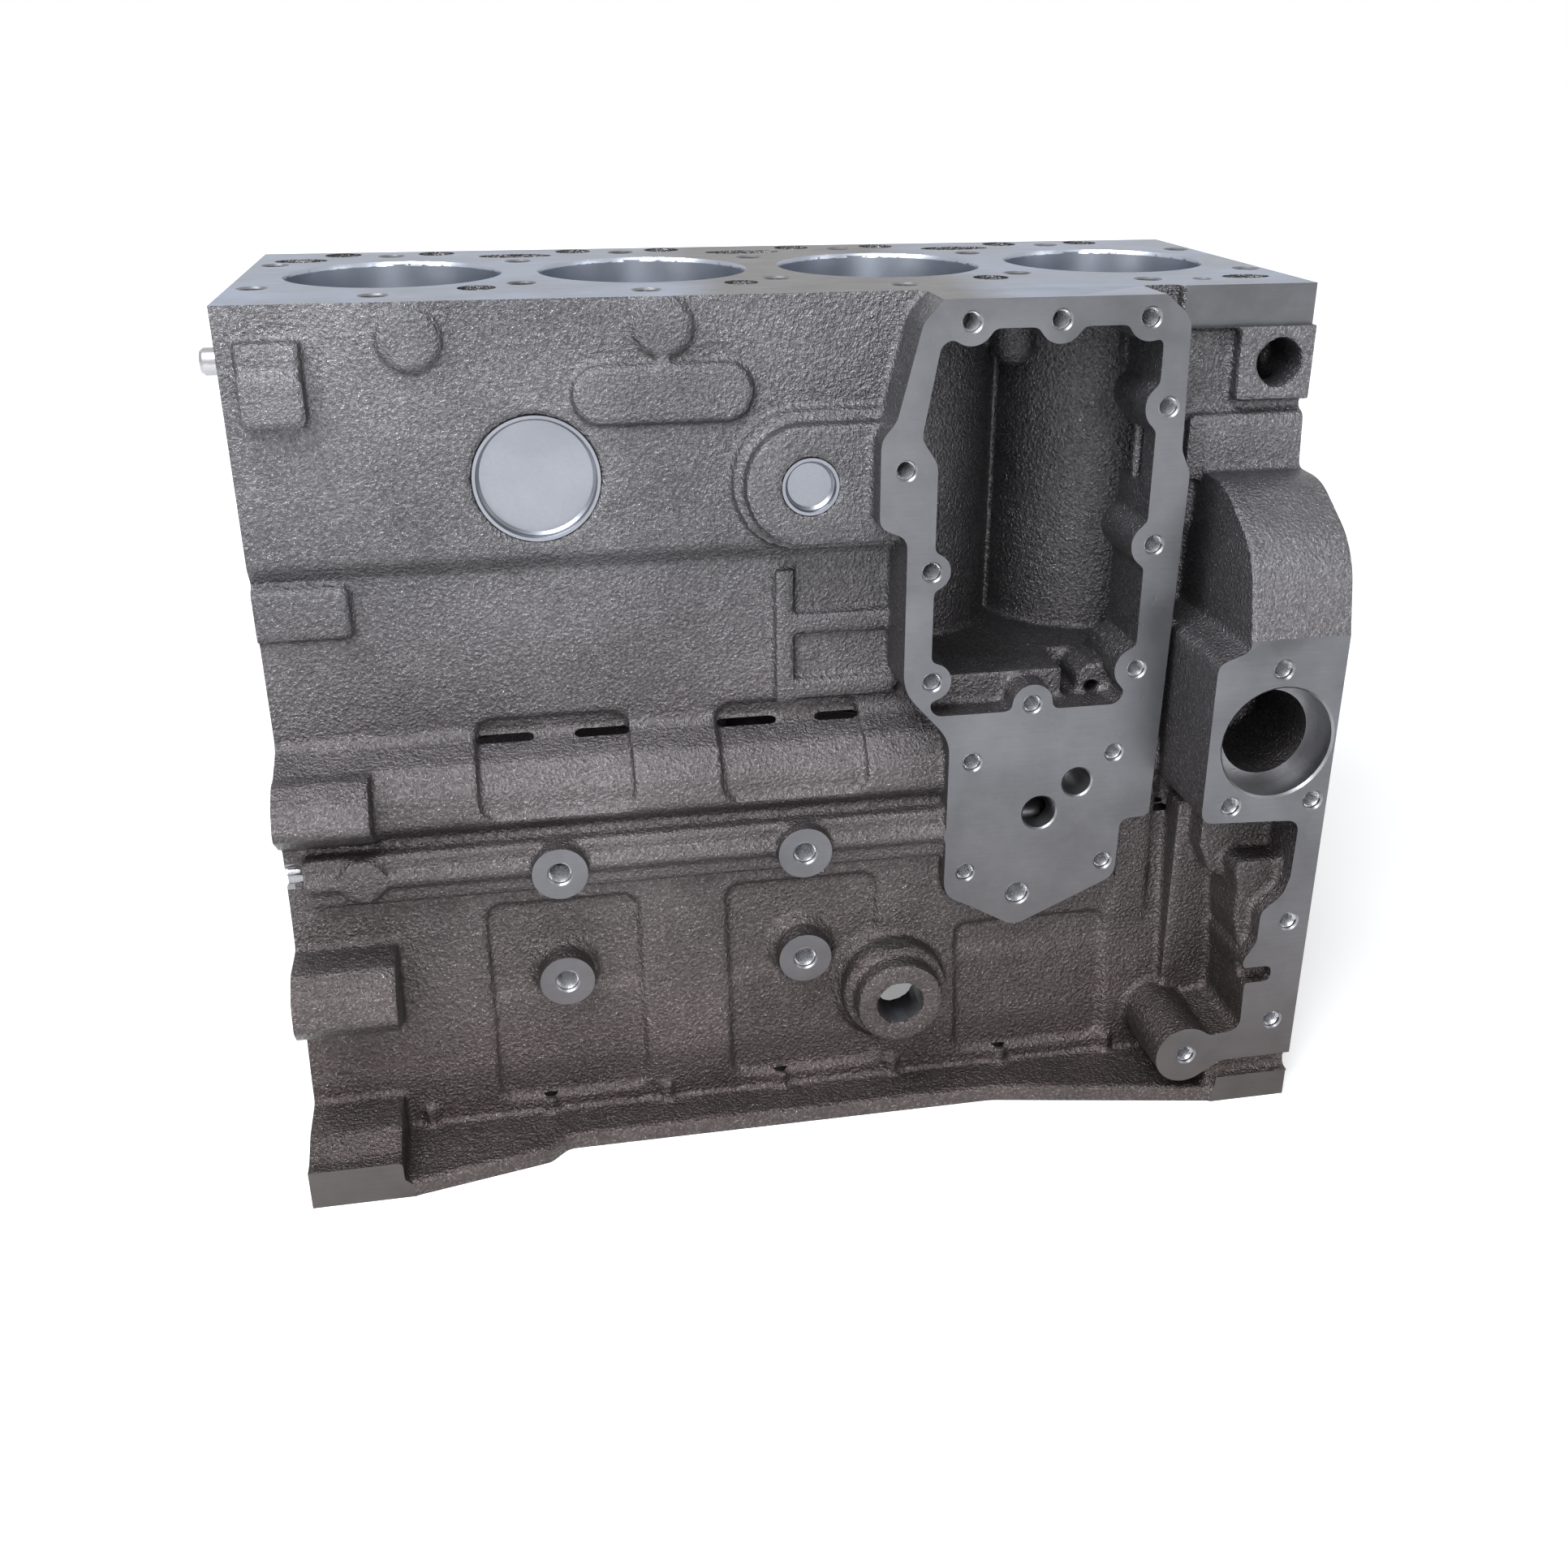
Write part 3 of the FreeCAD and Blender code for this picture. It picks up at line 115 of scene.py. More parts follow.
def sand_skin_group():
    """Grain of sand-cast iron: coarse pimples, fine grain, masks for painted glints on the crests and painted
    shade in the hollows, slow blotches.
    """
    tree, take, give = new_group(
        "sand_skin", [("Place", "NodeSocketVector", None), ("Grain", "NodeSocketFloat", 520.0)],
        [("Height", "NodeSocketFloat"), ("Painted Glint", "NodeSocketFloat"), ("Blotch", "NodeSocketFloat"),
         ("Painted Hollow Shade", "NodeSocketFloat")])
    place = take.outputs["Place"]
    grain = take.outputs["Grain"]
    coarse = noise(tree, place, grain, 2.0, 0.6)
    fine = noise(tree, place, math_node(tree, "MULTIPLY", grain, 3.1), 2.0, 0.6)
    swell = noise(tree, place, math_node(tree, "MULTIPLY", grain, 0.16), 2.0, 0.5)
    pimples = math_node(tree, "ADD", math_node(tree, "MULTIPLY", coarse, 0.75),
                        math_node(tree, "MULTIPLY", fine, 0.25))
    height = math_node(tree, "ADD", pimples, math_node(tree, "MULTIPLY", swell, 0.3))
    # Painted glints: a mask for the crests of the grain that are to read as catching the light.
    painted_glint = math_node(tree, "MULTIPLY", spread(tree, fine, 0.56, 0.70), spread(tree, coarse, 0.47, 0.66))
    # Painted shade: a mask for the hollows between the pimples of the grain.
    painted_hollow_shade = spread(tree, pimples, 0.52, 0.36)
    blotch = noise(tree, place, 14.0, 4.0, 0.6)
    tree.links.new(height, give.inputs["Height"])
    tree.links.new(painted_glint, give.inputs["Painted Glint"])
    tree.links.new(blotch, give.inputs["Blotch"])
    tree.links.new(painted_hollow_shade, give.inputs["Painted Hollow Shade"])
    return tree


def milled_marks_group():
    """Marks of a face mill or a reamer: fine lines one way, faint stains, small dents."""
    tree, take, give = new_group(
        "milled_marks",
        [("Place", "NodeSocketVector", None), ("Stretch", "NodeSocketVector", (1.0, 1.0, 1.0))],
        [("Lines", "NodeSocketFloat"), ("Stain", "NodeSocketFloat"), ("Dents", "NodeSocketFloat")])
    drawn = node(tree, "ShaderNodeVectorMath", {0: take.outputs["Place"], 1: take.outputs["Stretch"]},
                 operation="MULTIPLY").outputs[0]
    lines = noise(tree, drawn, 900.0, 3.0, 0.7)
    stain = noise(tree, take.outputs["Place"], 22.0, 5.0, 0.62)
    dents = spread(tree, noise(tree, take.outputs["Place"], 260.0, 1.0, 0.4), 0.30, 0.22)
    tree.links.new(lines, give.inputs["Lines"])
    tree.links.new(stain, give.inputs["Stain"])
    tree.links.new(dents, give.inputs["Dents"])
    return tree


SAND_SKIN = sand_skin_group()
MILLED_MARKS = milled_marks_group()


def blank_material(name):
    made = bpy.data.materials.new(name)
    made.use_nodes = True
    tree = made.node_tree
    tree.nodes.clear()
    surface = tree.nodes.new("ShaderNodeBsdfPrincipled")
    end = tree.nodes.new("ShaderNodeOutputMaterial")
    tree.links.new(surface.outputs[0], end.inputs["Surface"])
    place = tree.nodes.new("ShaderNodeTexCoord").outputs["Object"]
    return made, tree, surface, place


def cast_material(name, dark, light, metal=0.85, grain=620.0, rough=(0.22, 0.42), bump=1.0):
    """Skin of the casting, between a dark and a light tone, with painted shade that makes it darker and
    browner low down, painted shade in the hollows of its grain and painted glints on its crests.
    """
    made, tree, surface, place = blank_material(name)
    skin = node(tree, "ShaderNodeGroup", node_tree=SAND_SKIN)
    tree.links.new(place, skin.inputs["Place"])
    skin.inputs["Grain"].default_value = grain
    tone = mix(tree, spread(tree, skin.outputs["Blotch"], 0.30, 0.72), dark, light)
    height = node(tree, "ShaderNodeSeparateXYZ", {"Vector": place}).outputs["Z"]
    # Painted shade: the skin turns darker and browner from 0.24 m down to below the rail, standing in for the
    # light falling off lower on the block.
    painted_low_shade = spread(tree, height, 0.24, -0.04)
    tone = mix(tree, painted_low_shade, tone, (0.68, 0.56, 0.51, 1), "MULTIPLY")
    # Painted shade: the hollows of the grain are darkened in the base colour.
    painted_hollow_shade_mix = math_node(tree, "MULTIPLY", skin.outputs["Painted Hollow Shade"], 0.5)
    tone = mix(tree, painted_hollow_shade_mix, tone, (0.45, 0.43, 0.44, 1), "MULTIPLY")
    # Painted glints: the crests of the grain are mixed towards light grey in the base colour.
    painted_glint_mix = math_node(tree, "MULTIPLY", skin.outputs["Painted Glint"], 0.5)
    tone = mix(tree, painted_glint_mix, tone, (0.66, 0.65, 0.66, 1))
    tree.links.new(tone, surface.inputs["Base Color"])
    worn_crests = spread(tree, skin.outputs["Height"], 0.45, 0.85, rough[1], rough[0])
    tree.links.new(worn_crests, surface.inputs["Roughness"])
    surface.inputs["Metallic"].default_value = metal
    bumped = node(tree, "ShaderNodeBump", {"Strength": bump, "Distance": 0.0017,
                                           "Height": skin.outputs["Height"]})
    tree.links.new(bumped.outputs[0], surface.inputs["Normal"])
    return made


def milled_material(name, dark, light, stretch, rough=(0.28, 0.42), metal=0.9, bump=0.12,
                    darker_below=False, oil_film=None):
    """Bright cut metal with the lines of the cutter, brown oil film where it has any, and a darker, browner
    tone towards the bottom where asked.
    """
    made, tree, surface, place = blank_material(name)
    marks = node(tree, "ShaderNodeGroup", node_tree=MILLED_MARKS)
    tree.links.new(place, marks.inputs["Place"])
    marks.inputs["Stretch"].default_value = stretch
    tone = mix(tree, spread(tree, marks.outputs["Stain"], 0.35, 0.65), dark, light)
    lines = math_node(tree, "MULTIPLY", marks.outputs["Lines"], 0.35)
    tone = mix(tree, lines, tone, (0.5, 0.5, 0.52, 1), "MULTIPLY")
    if oil_film:
        along = node(tree, "ShaderNodeSeparateXYZ", {"Vector": place}).outputs["X"]
        from_middle = math_node(tree, "ABSOLUTE", math_node(tree, "SUBTRACT", along, oil_film[0]))
        torn = math_node(tree, "ADD", from_middle, math_node(tree, "MULTIPLY", marks.outputs["Stain"], 0.03))
        film = spread(tree, torn, oil_film[1] + 0.030, oil_film[1] + 0.004)
        tone = mix(tree, film, tone, (0.36, 0.29, 0.23, 1), "MULTIPLY")
    # Darker and browner towards the bottom of the block.
    if darker_below:
        height = node(tree, "ShaderNodeSeparateXYZ", {"Vector": place}).outputs["Z"]
        tone = mix(tree, spread(tree, height, 0.12, -0.08), tone, (0.58, 0.50, 0.45, 1), "MULTIPLY")
    tree.links.new(tone, surface.inputs["Base Color"])
    shine = math_node(tree, "ADD", math_node(tree, "MULTIPLY", marks.outputs["Lines"], 0.5),
                      math_node(tree, "MULTIPLY", marks.outputs["Stain"], 0.5))
    tree.links.new(spread(tree, shine, 0.35, 0.65, rough[0], rough[1]), surface.inputs["Roughness"])
    surface.inputs["Metallic"].default_value = metal
    height = math_node(tree, "SUBTRACT", marks.outputs["Lines"], marks.outputs["Dents"])
    bumped = node(tree, "ShaderNodeBump", {"Strength": bump, "Distance": 0.0004, "Height": height})
    tree.links.new(bumped.outputs[0], surface.inputs["Normal"])
    return made


def smooth_patches(form, turn):
    """Groups of faces that are joined over edges turning less than this many degrees."""
    form.faces.ensure_lookup_table()
    taken = [False] * len(form.faces)
    limit = math.cos(math.radians(turn))
    found = []
    for start in form.faces:
        if taken[start.index]:
            continue
        taken[start.index] = True
        heap, mine = [start], []
        while heap:
            face = heap.pop()
            mine.append(face)
            for edge in face.edges:
                for other in edge.link_faces:
                    if not taken[other.index] and face.normal.dot(other.normal) > limit:
                        taken[other.index] = True
                        heap.append(other)
        found.append(mine)
    return found


def round_holes(form):
    """Axis, middle, radius and both ends of every drilled or bored wall in the solid."""
    found = []
    for faces in smooth_patches(form, 28.0):
        total = sum(face.calc_area() for face in faces)
        if len(faces) < 6 or total < 1e-9:
            continue
        facing = sum((face.normal * face.calc_area() for face in faces), Vector()) / total
        if facing.length > 0.15:
            continue
        lean = [sum(face.calc_area() * face.normal[i] ** 2 for face in faces) / total for i in range(3)]
        axis = lean.index(min(lean))
        if lean[axis] > 0.02:
            continue
        points = np.array([corner.co for face in faces for corner in face.verts])
        middle = (points.max(0) + points.min(0)) / 2
        across = [i for i in range(3) if i != axis]
        away = np.hypot(points[:, across[0]] - middle[across[0]], points[:, across[1]] - middle[across[1]])
        inward = Vector(middle) - faces[0].calc_center_median()
        inward[axis] = 0
        if away.std() > 0.0002 or inward.dot(faces[0].normal) < 0:
            continue
        found.append((axis, middle, float(away.mean()), points[:, axis].min(), points[:, axis].max()))
    return found


def free_way(solid, hole, end, sense):
    """How far a reamer may run on past one end of a hole before it meets iron."""
    start = Vector(hole[1])
    start[hole[0]] = end - sense * 0.0002
    ahead = Vector()
    ahead[hole[0]] = sense
    struck = solid.ray_cast(start, ahead, OVERRUN * 2)
    room = OVERRUN * 2 if struck[0] is None else struck[3]
    return min(OVERRUN, room * 0.6) if room > OVERRUN else 0.0


def add_box(form, low, high):
    low, high = Vector(low) * MM, Vector(high) * MM
    bmesh.ops.create_cube(form, size=1.0, matrix=Matrix.Translation((low + high) / 2)
                          @ Matrix.Diagonal((*(high - low), 1)))


def turned(axis):
    """The turn that lays an upright tool along an axis."""
    return (Matrix.Rotation(math.pi / 2, 4, "Y"), Matrix.Rotation(-math.pi / 2, 4, "X"),
            Matrix.Identity(4))[axis]


def add_rod(form, axis, middle, radius, start, end):
    place = Vector(middle)
    place[axis] = (start + end) / 2
    sides = 128 if radius > 0.03 else 64 if radius > 0.012 else 32
    bmesh.ops.create_cone(form, cap_ends=True, segments=sides, radius1=radius, radius2=radius,
                          depth=end - start, matrix=Matrix.Translation(place) @ turned(axis))


def settled(piece):
    """The piece's mesh with its modifiers applied."""
    graph = bpy.context.evaluated_depsgraph_get()
    mesh = bpy.data.meshes.new_from_object(piece.evaluated_get(graph))
    piece.modifiers.clear()
    piece.data = mesh
    return mesh


def machine(piece, name, operation, build):
    """One cut across the casting with a set of tools that don't touch each other."""
    mesh = bpy.data.meshes.new(name)
    form = bmesh.new()
    build(form)
    form.to_mesh(mesh)
    form.free()
    tool = bpy.data.objects.new(name, mesh)
    bpy.context.scene.collection.objects.link(tool)
    cut = piece.modifiers.new(name, "BOOLEAN")
    cut.operation = operation
    cut.solver = "MANIFOLD"
    cut.object = tool
    settled(piece)
    bpy.data.objects.remove(tool)


block_low, block_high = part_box("cylinder_block")
COOLER_FACE, BOSS_FACE, PAD_FACE, FOOT_FACE = -130.0, -135.0, -178.0, -177.0
COVER_FACE, LIFT_FACE, MOUNT_FACE = 106.0, 134.0, 140.0
BAND_FACE = -103.0
REAR, FRONT, RAIL, DECK_TOP = block_low.x / MM, block_high.x / MM, block_low.z / MM, block_high.z / MM
FAR_FOOT = block_high.y / MM
ALLOWANCE = 4.0
OVERRUN = 0.006
GRIT = 1.6
BORE_RADIUS, BORE_PITCH, MAIN_RADIUS = 51.0 * MM, 120.0 * MM, 44.0 * MM

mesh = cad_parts["cylinder_block"].data.copy()
form = bmesh.new()
form.from_mesh(mesh)
bmesh.ops.remove_doubles(form, verts=form.verts, dist=0.000002)
bmesh.ops.dissolve_degenerate(form, edges=form.edges, dist=0.000002)
solid = BVHTree.FromBMesh(form)
holes = round_holes(form)

# The rough casting: every face to be milled stands proud, and the sand rounds all corners.
milled_planes = (
    (2, DECK_TOP, 1), (0, REAR, -1), (0, FRONT, 1), (2, RAIL, -1),
    (1, COOLER_FACE, -1), (1, BOSS_FACE, -1), (1, BAND_FACE, -1), (1, PAD_FACE, -1), (1, FOOT_FACE, -1),
    (1, COVER_FACE, 1), (1, LIFT_FACE, 1), (1, MOUNT_FACE, 1), (1, FAR_FOOT, 1))
for axis, value, sense in milled_planes:
    faces = [face for face in form.faces if face.normal[axis] * sense > 0.9999
             and all(abs(corner.co[axis] - value * MM) < 0.00002 for corner in face.verts)]
    if value == COOLER_FACE:
        faces = [face for face in faces if face.calc_center_median().x > 0.03]
    if value == BOSS_FACE:
        faces = [face for face in faces if face.calc_center_median().x < 0.02]
    if not faces:
        continue
    grown = bmesh.ops.extrude_face_region(form, geom=faces)
    bmesh.ops.delete(form, geom=faces, context="FACES_ONLY")
    raised = [item for item in grown["geom"] if isinstance(item, bmesh.types.BMVert)]
    outward = Vector()
    outward[axis] = ALLOWANCE * MM * sense
    bmesh.ops.translate(form, verts=raised, vec=outward)

# The lower wall keeps about 6 mm of iron behind its shallow panels.
PANEL_DEPTH, PANEL_IRON = 3.2, 6.0
WALL_LINE = ((40, -118.5), (20, -120.9), (0, -123.3), (-14, -125.0), (-30, -127.7), (-50, -130.6),
             (-71.5, -131.0))
for low_x, high_x, top in ((-161.5, -83, 40), (-42.5, 39.5, 40), (77.5, 164, 7)):
    line = [point for point in WALL_LINE if point[0] < top] if top < 40 else list(WALL_LINE)
    if top < 40:
        line.insert(0, (top, -122.4))
    outer = [(height, wall + PANEL_DEPTH) for height, wall in line]
    inner = [(height, wall + PANEL_DEPTH + PANEL_IRON) for height, wall in reversed(line)]
    rim = [form.verts.new((low_x * MM, across * MM, height * MM)) for height, across in outer + inner]
    grown = bmesh.ops.extrude_face_region(form, geom=[form.faces.new(rim)], use_keep_orig=True)
    bmesh.ops.translate(form, verts=[item for item in grown["geom"] if isinstance(item, bmesh.types.BMVert)],
                        vec=((high_x - low_x) * MM, 0, 0))
form.normal_update()
form.to_mesh(mesh)
form.free()
block = bpy.data.objects.new("block_casting", mesh)
bpy.context.scene.collection.objects.link(block)
sand = block.modifiers.new("sand", "REMESH")
sand.mode = "VOXEL"
sand.voxel_size = GRIT * MM
worn = block.modifiers.new("worn", "SMOOTH")
worn.factor = 0.5
worn.iterations = round(SOFTNESS / GRIT ** 2)
settled(block)

# Milling, boring, drilling and the sawn channel of the bearing caps.
machine(block, "outer_faces", "INTERSECT",
        lambda form: add_box(form, (REAR, PAD_FACE, RAIL), (FRONT, FAR_FOOT, DECK_TOP)))


def mill_pads(form):
    add_box(form, (30, -160, 1), (184, COOLER_FACE, 330))
    for across in (-122.5, -2.5):
        for height in (0, 60):
            add_box(form, (across - 16, -150, height - 16), (across + 16, BOSS_FACE, height + 16))
    add_box(form, (REAR - 9, -190, RAIL - 8), (-190, FOOT_FACE, -60))
    add_box(form, (200, -190, RAIL - 8), (FRONT + 9, FOOT_FACE, -71.5))
    add_box(form, (-235, COVER_FACE, 205), (235, 125, 330))
    add_box(form, (FRONT - 67, -112, DECK_TOP - 19), (FRONT + 9, BAND_FACE, 330))
    add_box(form, (15, LIFT_FACE, 79), (101, 145, 145))
    for across in (-120, 120):
        add_box(form, (across - 50, MOUNT_FACE, -50), (across + 50, 150, 44))


machine(block, "pads", "DIFFERENCE", mill_pads)

# Coolant and core openings of the deck, left as cast: middle, half length and half width.
DECK_PORTS = ([(across, 85, 9.4, 9.2) for across in (-210, -162, -90, -42, 30, 78, 150, 198)]
              + [(-140.5, -58.5, 8.8, 8.8), (-19, -58.5, 8.0, 8.0), (102, -59.5, 8.6, 8.6), (226, -75, 12, 7)]
              + [(-122, 68.5, 18, 8), (0, 68.5, 20, 8), (119, 68.5, 19, 8), (-229, 61, 13, 8)])


def open_ports(form):
    for across, away, long, wide in DECK_PORTS:
        place = Matrix.Translation((across * MM, away * MM, DECK_TOP * MM))
        bmesh.ops.create_cone(form, cap_ends=True, segments=36, radius1=MM, radius2=MM, depth=30 * MM,
                              matrix=place @ Matrix.Diagonal((long, wide, 1, 1)))


machine(block, "deck_ports", "DIFFERENCE", open_ports)

# A cored recess in the front wall of the cooler cavity, crossed by a thin upright rib.
machine(block, "wall_recess", "DIFFERENCE", lambda form: add_box(form, (150, -116, 234), (172, -84, 260)))
machine(block, "recess_rib", "UNION",
        lambda form: add_rod(form, 2, (167 * MM, -102 * MM, 0), 2.6 * MM, 232 * MM, 263 * MM))
reamed = []
for hole in holes:
    axis, middle, radius, start, end = hole
    reamed.append((axis, middle, radius, start - free_way(solid, hole, start, -1),
                   end + free_way(solid, hole, end, 1)))
holes_span = {id(hole[1]): (hole[3], hole[4]) for hole in holes}
for step in range(4):
    reamed.append((2, ((step - 1.5) * BORE_PITCH, 0, 0), BORE_RADIUS, 94 * MM, 330 * MM))
    holes_span[id(reamed[-1][1])] = (94 * MM, DECK_TOP * MM)
reamed.append((0, (0, 0, 0), MAIN_RADIUS, -260 * MM, 260 * MM))


def reach_of(hole):
    low = [hole[1][i] - hole[2] - 0.0001 for i in range(3)]
    high = [hole[1][i] + hole[2] + 0.0001 for i in range(3)]
    low[hole[0]], high[hole[0]] = hole[3] - 0.0001, hole[4] + 0.0001
    return low, high


def clash(first, second):
    (low_a, high_a), (low_b, high_b) = reach_of(first), reach_of(second)
    return all(low_a[i] < high_b[i] and high_a[i] > low_b[i] for i in range(3))


tool_sets = []
for hole in sorted(reamed, key=lambda hole: -hole[2]):
    for tool_set in tool_sets:
        if not any(clash(hole, other) for other in tool_set):
            tool_set.append(hole)
            break
    else:
        tool_sets.append([hole])
for index, tool_set in enumerate(tool_sets):
    def ream(form):
        for axis, middle, radius, start, end in tool_set:
            add_rod(form, axis, middle, radius + 0.00004, start, end)
    machine(block, "reamers_%d" % index, "DIFFERENCE", ream)


def milled_at(axis, mouth, sense):
    """Whether the end of a hole lies on a milled face that looks this way."""
    return any(way == axis and side == sense and abs(mouth - plane * MM) < 0.0001
               for way, plane, side in milled_planes)


def chamfer(form):
    """Countersinks where a hole meets a milled face."""
    for axis, middle, radius, start, end in reamed:
        if axis == 0 and radius > MAIN_RADIUS - 0.5 * MM:
            continue
        lip = 0.0005 if radius > 0.04 else 0.0012 if radius > 0.01 else 0.0009
        for mouth, sense in zip(holes_span[id(middle)], (-1, 1)):
            if not milled_at(axis, mouth, sense):
                continue
            place = Vector(middle)
            place[axis] = mouth
            ends = (radius, radius + 2 * lip)[::sense]
            bmesh.ops.create_cone(form, cap_ends=True, segments=96 if radius > 0.03 else 32,
                                  radius1=ends[0], radius2=ends[1], depth=2 * lip,
                                  matrix=Matrix.Translation(place) @ turned(axis))


machine(block, "chamfers", "DIFFERENCE", chamfer)
machine(block, "cap_channel", "DIFFERENCE",
        lambda form: add_box(form, (REAR - 9, -69.5, RAIL - 8), (FRONT + 9, 69.5, 0)))
block.data.calc_loop_triangles()
thin = block.modifiers.new("thin", "DECIMATE")
thin.ratio = min(1.0, 196000 / len(block.data.loop_triangles))
settled(block)

# Each face takes the finish of the tool that made it.
count = len(block.data.polygons)
centre, normal = np.zeros(count * 3), np.zeros(count * 3)
block.data.polygons.foreach_get("center", centre)
block.data.polygons.foreach_get("normal", normal)
centre, normal = centre.reshape(-1, 3), normal.reshape(-1, 3)
SKIN, MILLED, DECK, BORE, HOLE = range(5)
kind = np.full(count, SKIN)
for axis, value, sense in milled_planes:
    flat = (np.abs(centre[:, axis] - value * MM) < 0.00004) & (normal[:, axis] * sense > 0.995)
    if value in (COOLER_FACE, BAND_FACE):
        flat &= centre[:, 0] > 0.03
    kind[flat] = DECK if value == DECK_TOP else MILLED
kind[(np.abs(centre[:, 2]) < 0.00004) & (normal[:, 2] < -0.995)] = MILLED
kind[(np.abs(np.abs(centre[:, 1]) - 0.0695) < 0.00004) & (np.abs(normal[:, 1]) > 0.995)] = MILLED
for axis, middle, radius, start, end in reamed:
    across = [i for i in range(3) if i != axis]
    away = np.hypot(centre[:, across[0]] - middle[across[0]], centre[:, across[1]] - middle[across[1]])
    along = (centre[:, axis] > start - 0.0003) & (centre[:, axis] < end + 0.0003)
    wall = along & (away < radius + 0.0002) & (np.abs(normal[:, axis]) < 0.3)
    floor_of_hole = along & (away < radius + 0.0002) & (np.abs(normal[:, axis]) > 0.9) & (radius < 0.031)
    rim = np.zeros(count, bool)
    for mouth, sense in zip(holes_span.get(id(middle), ()), (-1, 1)):
        if milled_at(axis, mouth, sense):
            rim |= (away < radius + 0.0032) & (np.abs(centre[:, axis] - mouth) < 0.0032)
    kind[(wall | floor_of_hole | rim) & (kind == SKIN)] = BORE if radius > 0.04 else HOLE

block.data.materials.clear()
for made in (
    cast_material("cast_skin", (0.070, 0.069, 0.073, 1), (0.116, 0.114, 0.121, 1)),
    milled_material("milled_iron", (0.108, 0.110, 0.118, 1), (0.146, 0.149, 0.160, 1), (0.06, 1.0, 1.0),
                    darker_below=True),
    milled_material("milled_deck", (0.13, 0.155, 0.21, 1), (0.24, 0.28, 0.37, 1), (0.06, 1.0, 1.0),
                    oil_film=(0.022, 0.062)),
    milled_material("honed_bore", (0.36, 0.39, 0.45, 1), (0.42, 0.455, 0.52, 1), (1.0, 1.0, 1.0),
                    (0.30, 0.34), 1.0, 0.01),
    milled_material("drilled_wall", (0.13, 0.13, 0.135, 1), (0.22, 0.22, 0.23, 1), (1.0, 0.05, 1.0),
                    (0.25, 0.4)),
):
    block.data.materials.append(made)
block.data.polygons.foreach_set("material_index", kind.astype(np.int32))
block.data.polygons.foreach_set("use_smooth", (kind != MILLED) & (kind != DECK))
block.data.set_sharp_from_angle(angle=math.radians(38.0))

# A honed wall is truly round: its shading points at the axis of the bore.
loops = np.zeros(len(block.data.loops) * 3, np.float32)
block.data.corner_normals.foreach_get("vector", loops)
loops = loops.reshape(-1, 3)
corner_of = np.zeros(len(block.data.loops), np.int32)
block.data.loops.foreach_get("vertex_index", corner_of)
spots = np.zeros(len(block.data.vertices) * 3)
block.data.vertices.foreach_get("co", spots)
spots = spots.reshape(-1, 3)
sides = np.zeros(count, np.int32)
block.data.polygons.foreach_get("loop_total", sides)
face_of = np.repeat(np.arange(count), sides)
for step in range(4):
    middle_x = (step - 1.5) * BORE_PITCH
    round_wall = ((kind == BORE) & (np.abs(normal[:, 2]) < 0.2) & (centre[:, 2] > 0.09)
                  & (np.abs(centre[:, 0] - middle_x) < BORE_RADIUS + 0.001))[face_of]
    aim = spots[corner_of[round_wall]].copy()
    aim[:, 0] -= middle_x
    aim[:, 2] = 0
    loops[round_wall] = -aim / np.linalg.norm(aim, axis=1)[:, None]
block.data.normals_split_custom_set(loops.tolist())
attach(block, "root")
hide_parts("cylinder_block")

# ---------------------------------------------------------------- threads of the tapped holes
# The screw holes of the flanges, bosses, strip and ends are tapped in the iron: a bright
# 60 degree thread starts under the countersink and runs down the drilled wall.
TAPPED = (4.0 * MM, 7.4 * MM)
TURN, CREST, SEAT = 1.5 * MM, 0.45 * MM, 0.02 * MM
START, RUNOUT, DEEPEST = 0.9 * MM, 2.0 * MM, 20.0 * MM
SIDES = 28


def tap(form, axis, middle, radius, depth, mouth, sense):
    """A thread of sharp rings, from the mouth of the hole down its wall."""
    wide, high = (i for i in range(3) if i != axis)
    steps = int(min(depth - RUNOUT, DEEPEST) / TURN * 2)
    rings = []
    for step in range(steps + 1):
        crest = radius - CREST if step % 2 else radius + SEAT
        ring = []
        for part in range(SIDES):
            angle = 2 * math.pi * part / SIDES
            spot = [0.0, 0.0, 0.0]
            spot[wide] = middle[wide] + crest * math.cos(angle)
            spot[high] = middle[high] + crest * math.sin(angle)
            spot[axis] = mouth - sense * (START + step * TURN / 2 + TURN * part / SIDES)
            ring.append(form.verts.new(spot))
        rings.append(ring)
    for step in range(steps):
        upper, lower = rings[step], rings[step + 1]
        for part in range(SIDES - 1):
            form.faces.new((upper[part], lower[part], lower[part + 1], upper[part + 1]))
        if step + 3 <= steps:
            form.faces.new((upper[-1], lower[-1], rings[step + 3][0], rings[step + 2][0]))


threads = bmesh.new()
for axis, middle, radius, start, end in reamed:
    if not TAPPED[0] < radius < TAPPED[1] or axis == 2:
        continue
    low, high = holes_span[id(middle)]
    for mouth, sense in ((low, -1), (high, 1)):
        if milled_at(axis, mouth, sense):
            tap(threads, axis, middle, radius, high - low, mouth, sense)
            break
bmesh.ops.recalc_face_normals(threads, faces=threads.faces)
thread_mesh = bpy.data.meshes.new("threads")
threads.to_mesh(thread_mesh)
threads.free()
for face in thread_mesh.polygons:
    face.use_smooth = False
cut_threads = bpy.data.objects.new("cut_threads", thread_mesh)
bpy.context.scene.collection.objects.link(cut_threads)
thread_mesh.materials.append(milled_material("cut_thread", (0.50, 0.50, 0.52, 1), (0.60, 0.60, 0.62, 1),
                                             (1.0, 1.0, 1.0), (0.22, 0.32), 1.0, 0.05))
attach(cut_threads, "root")

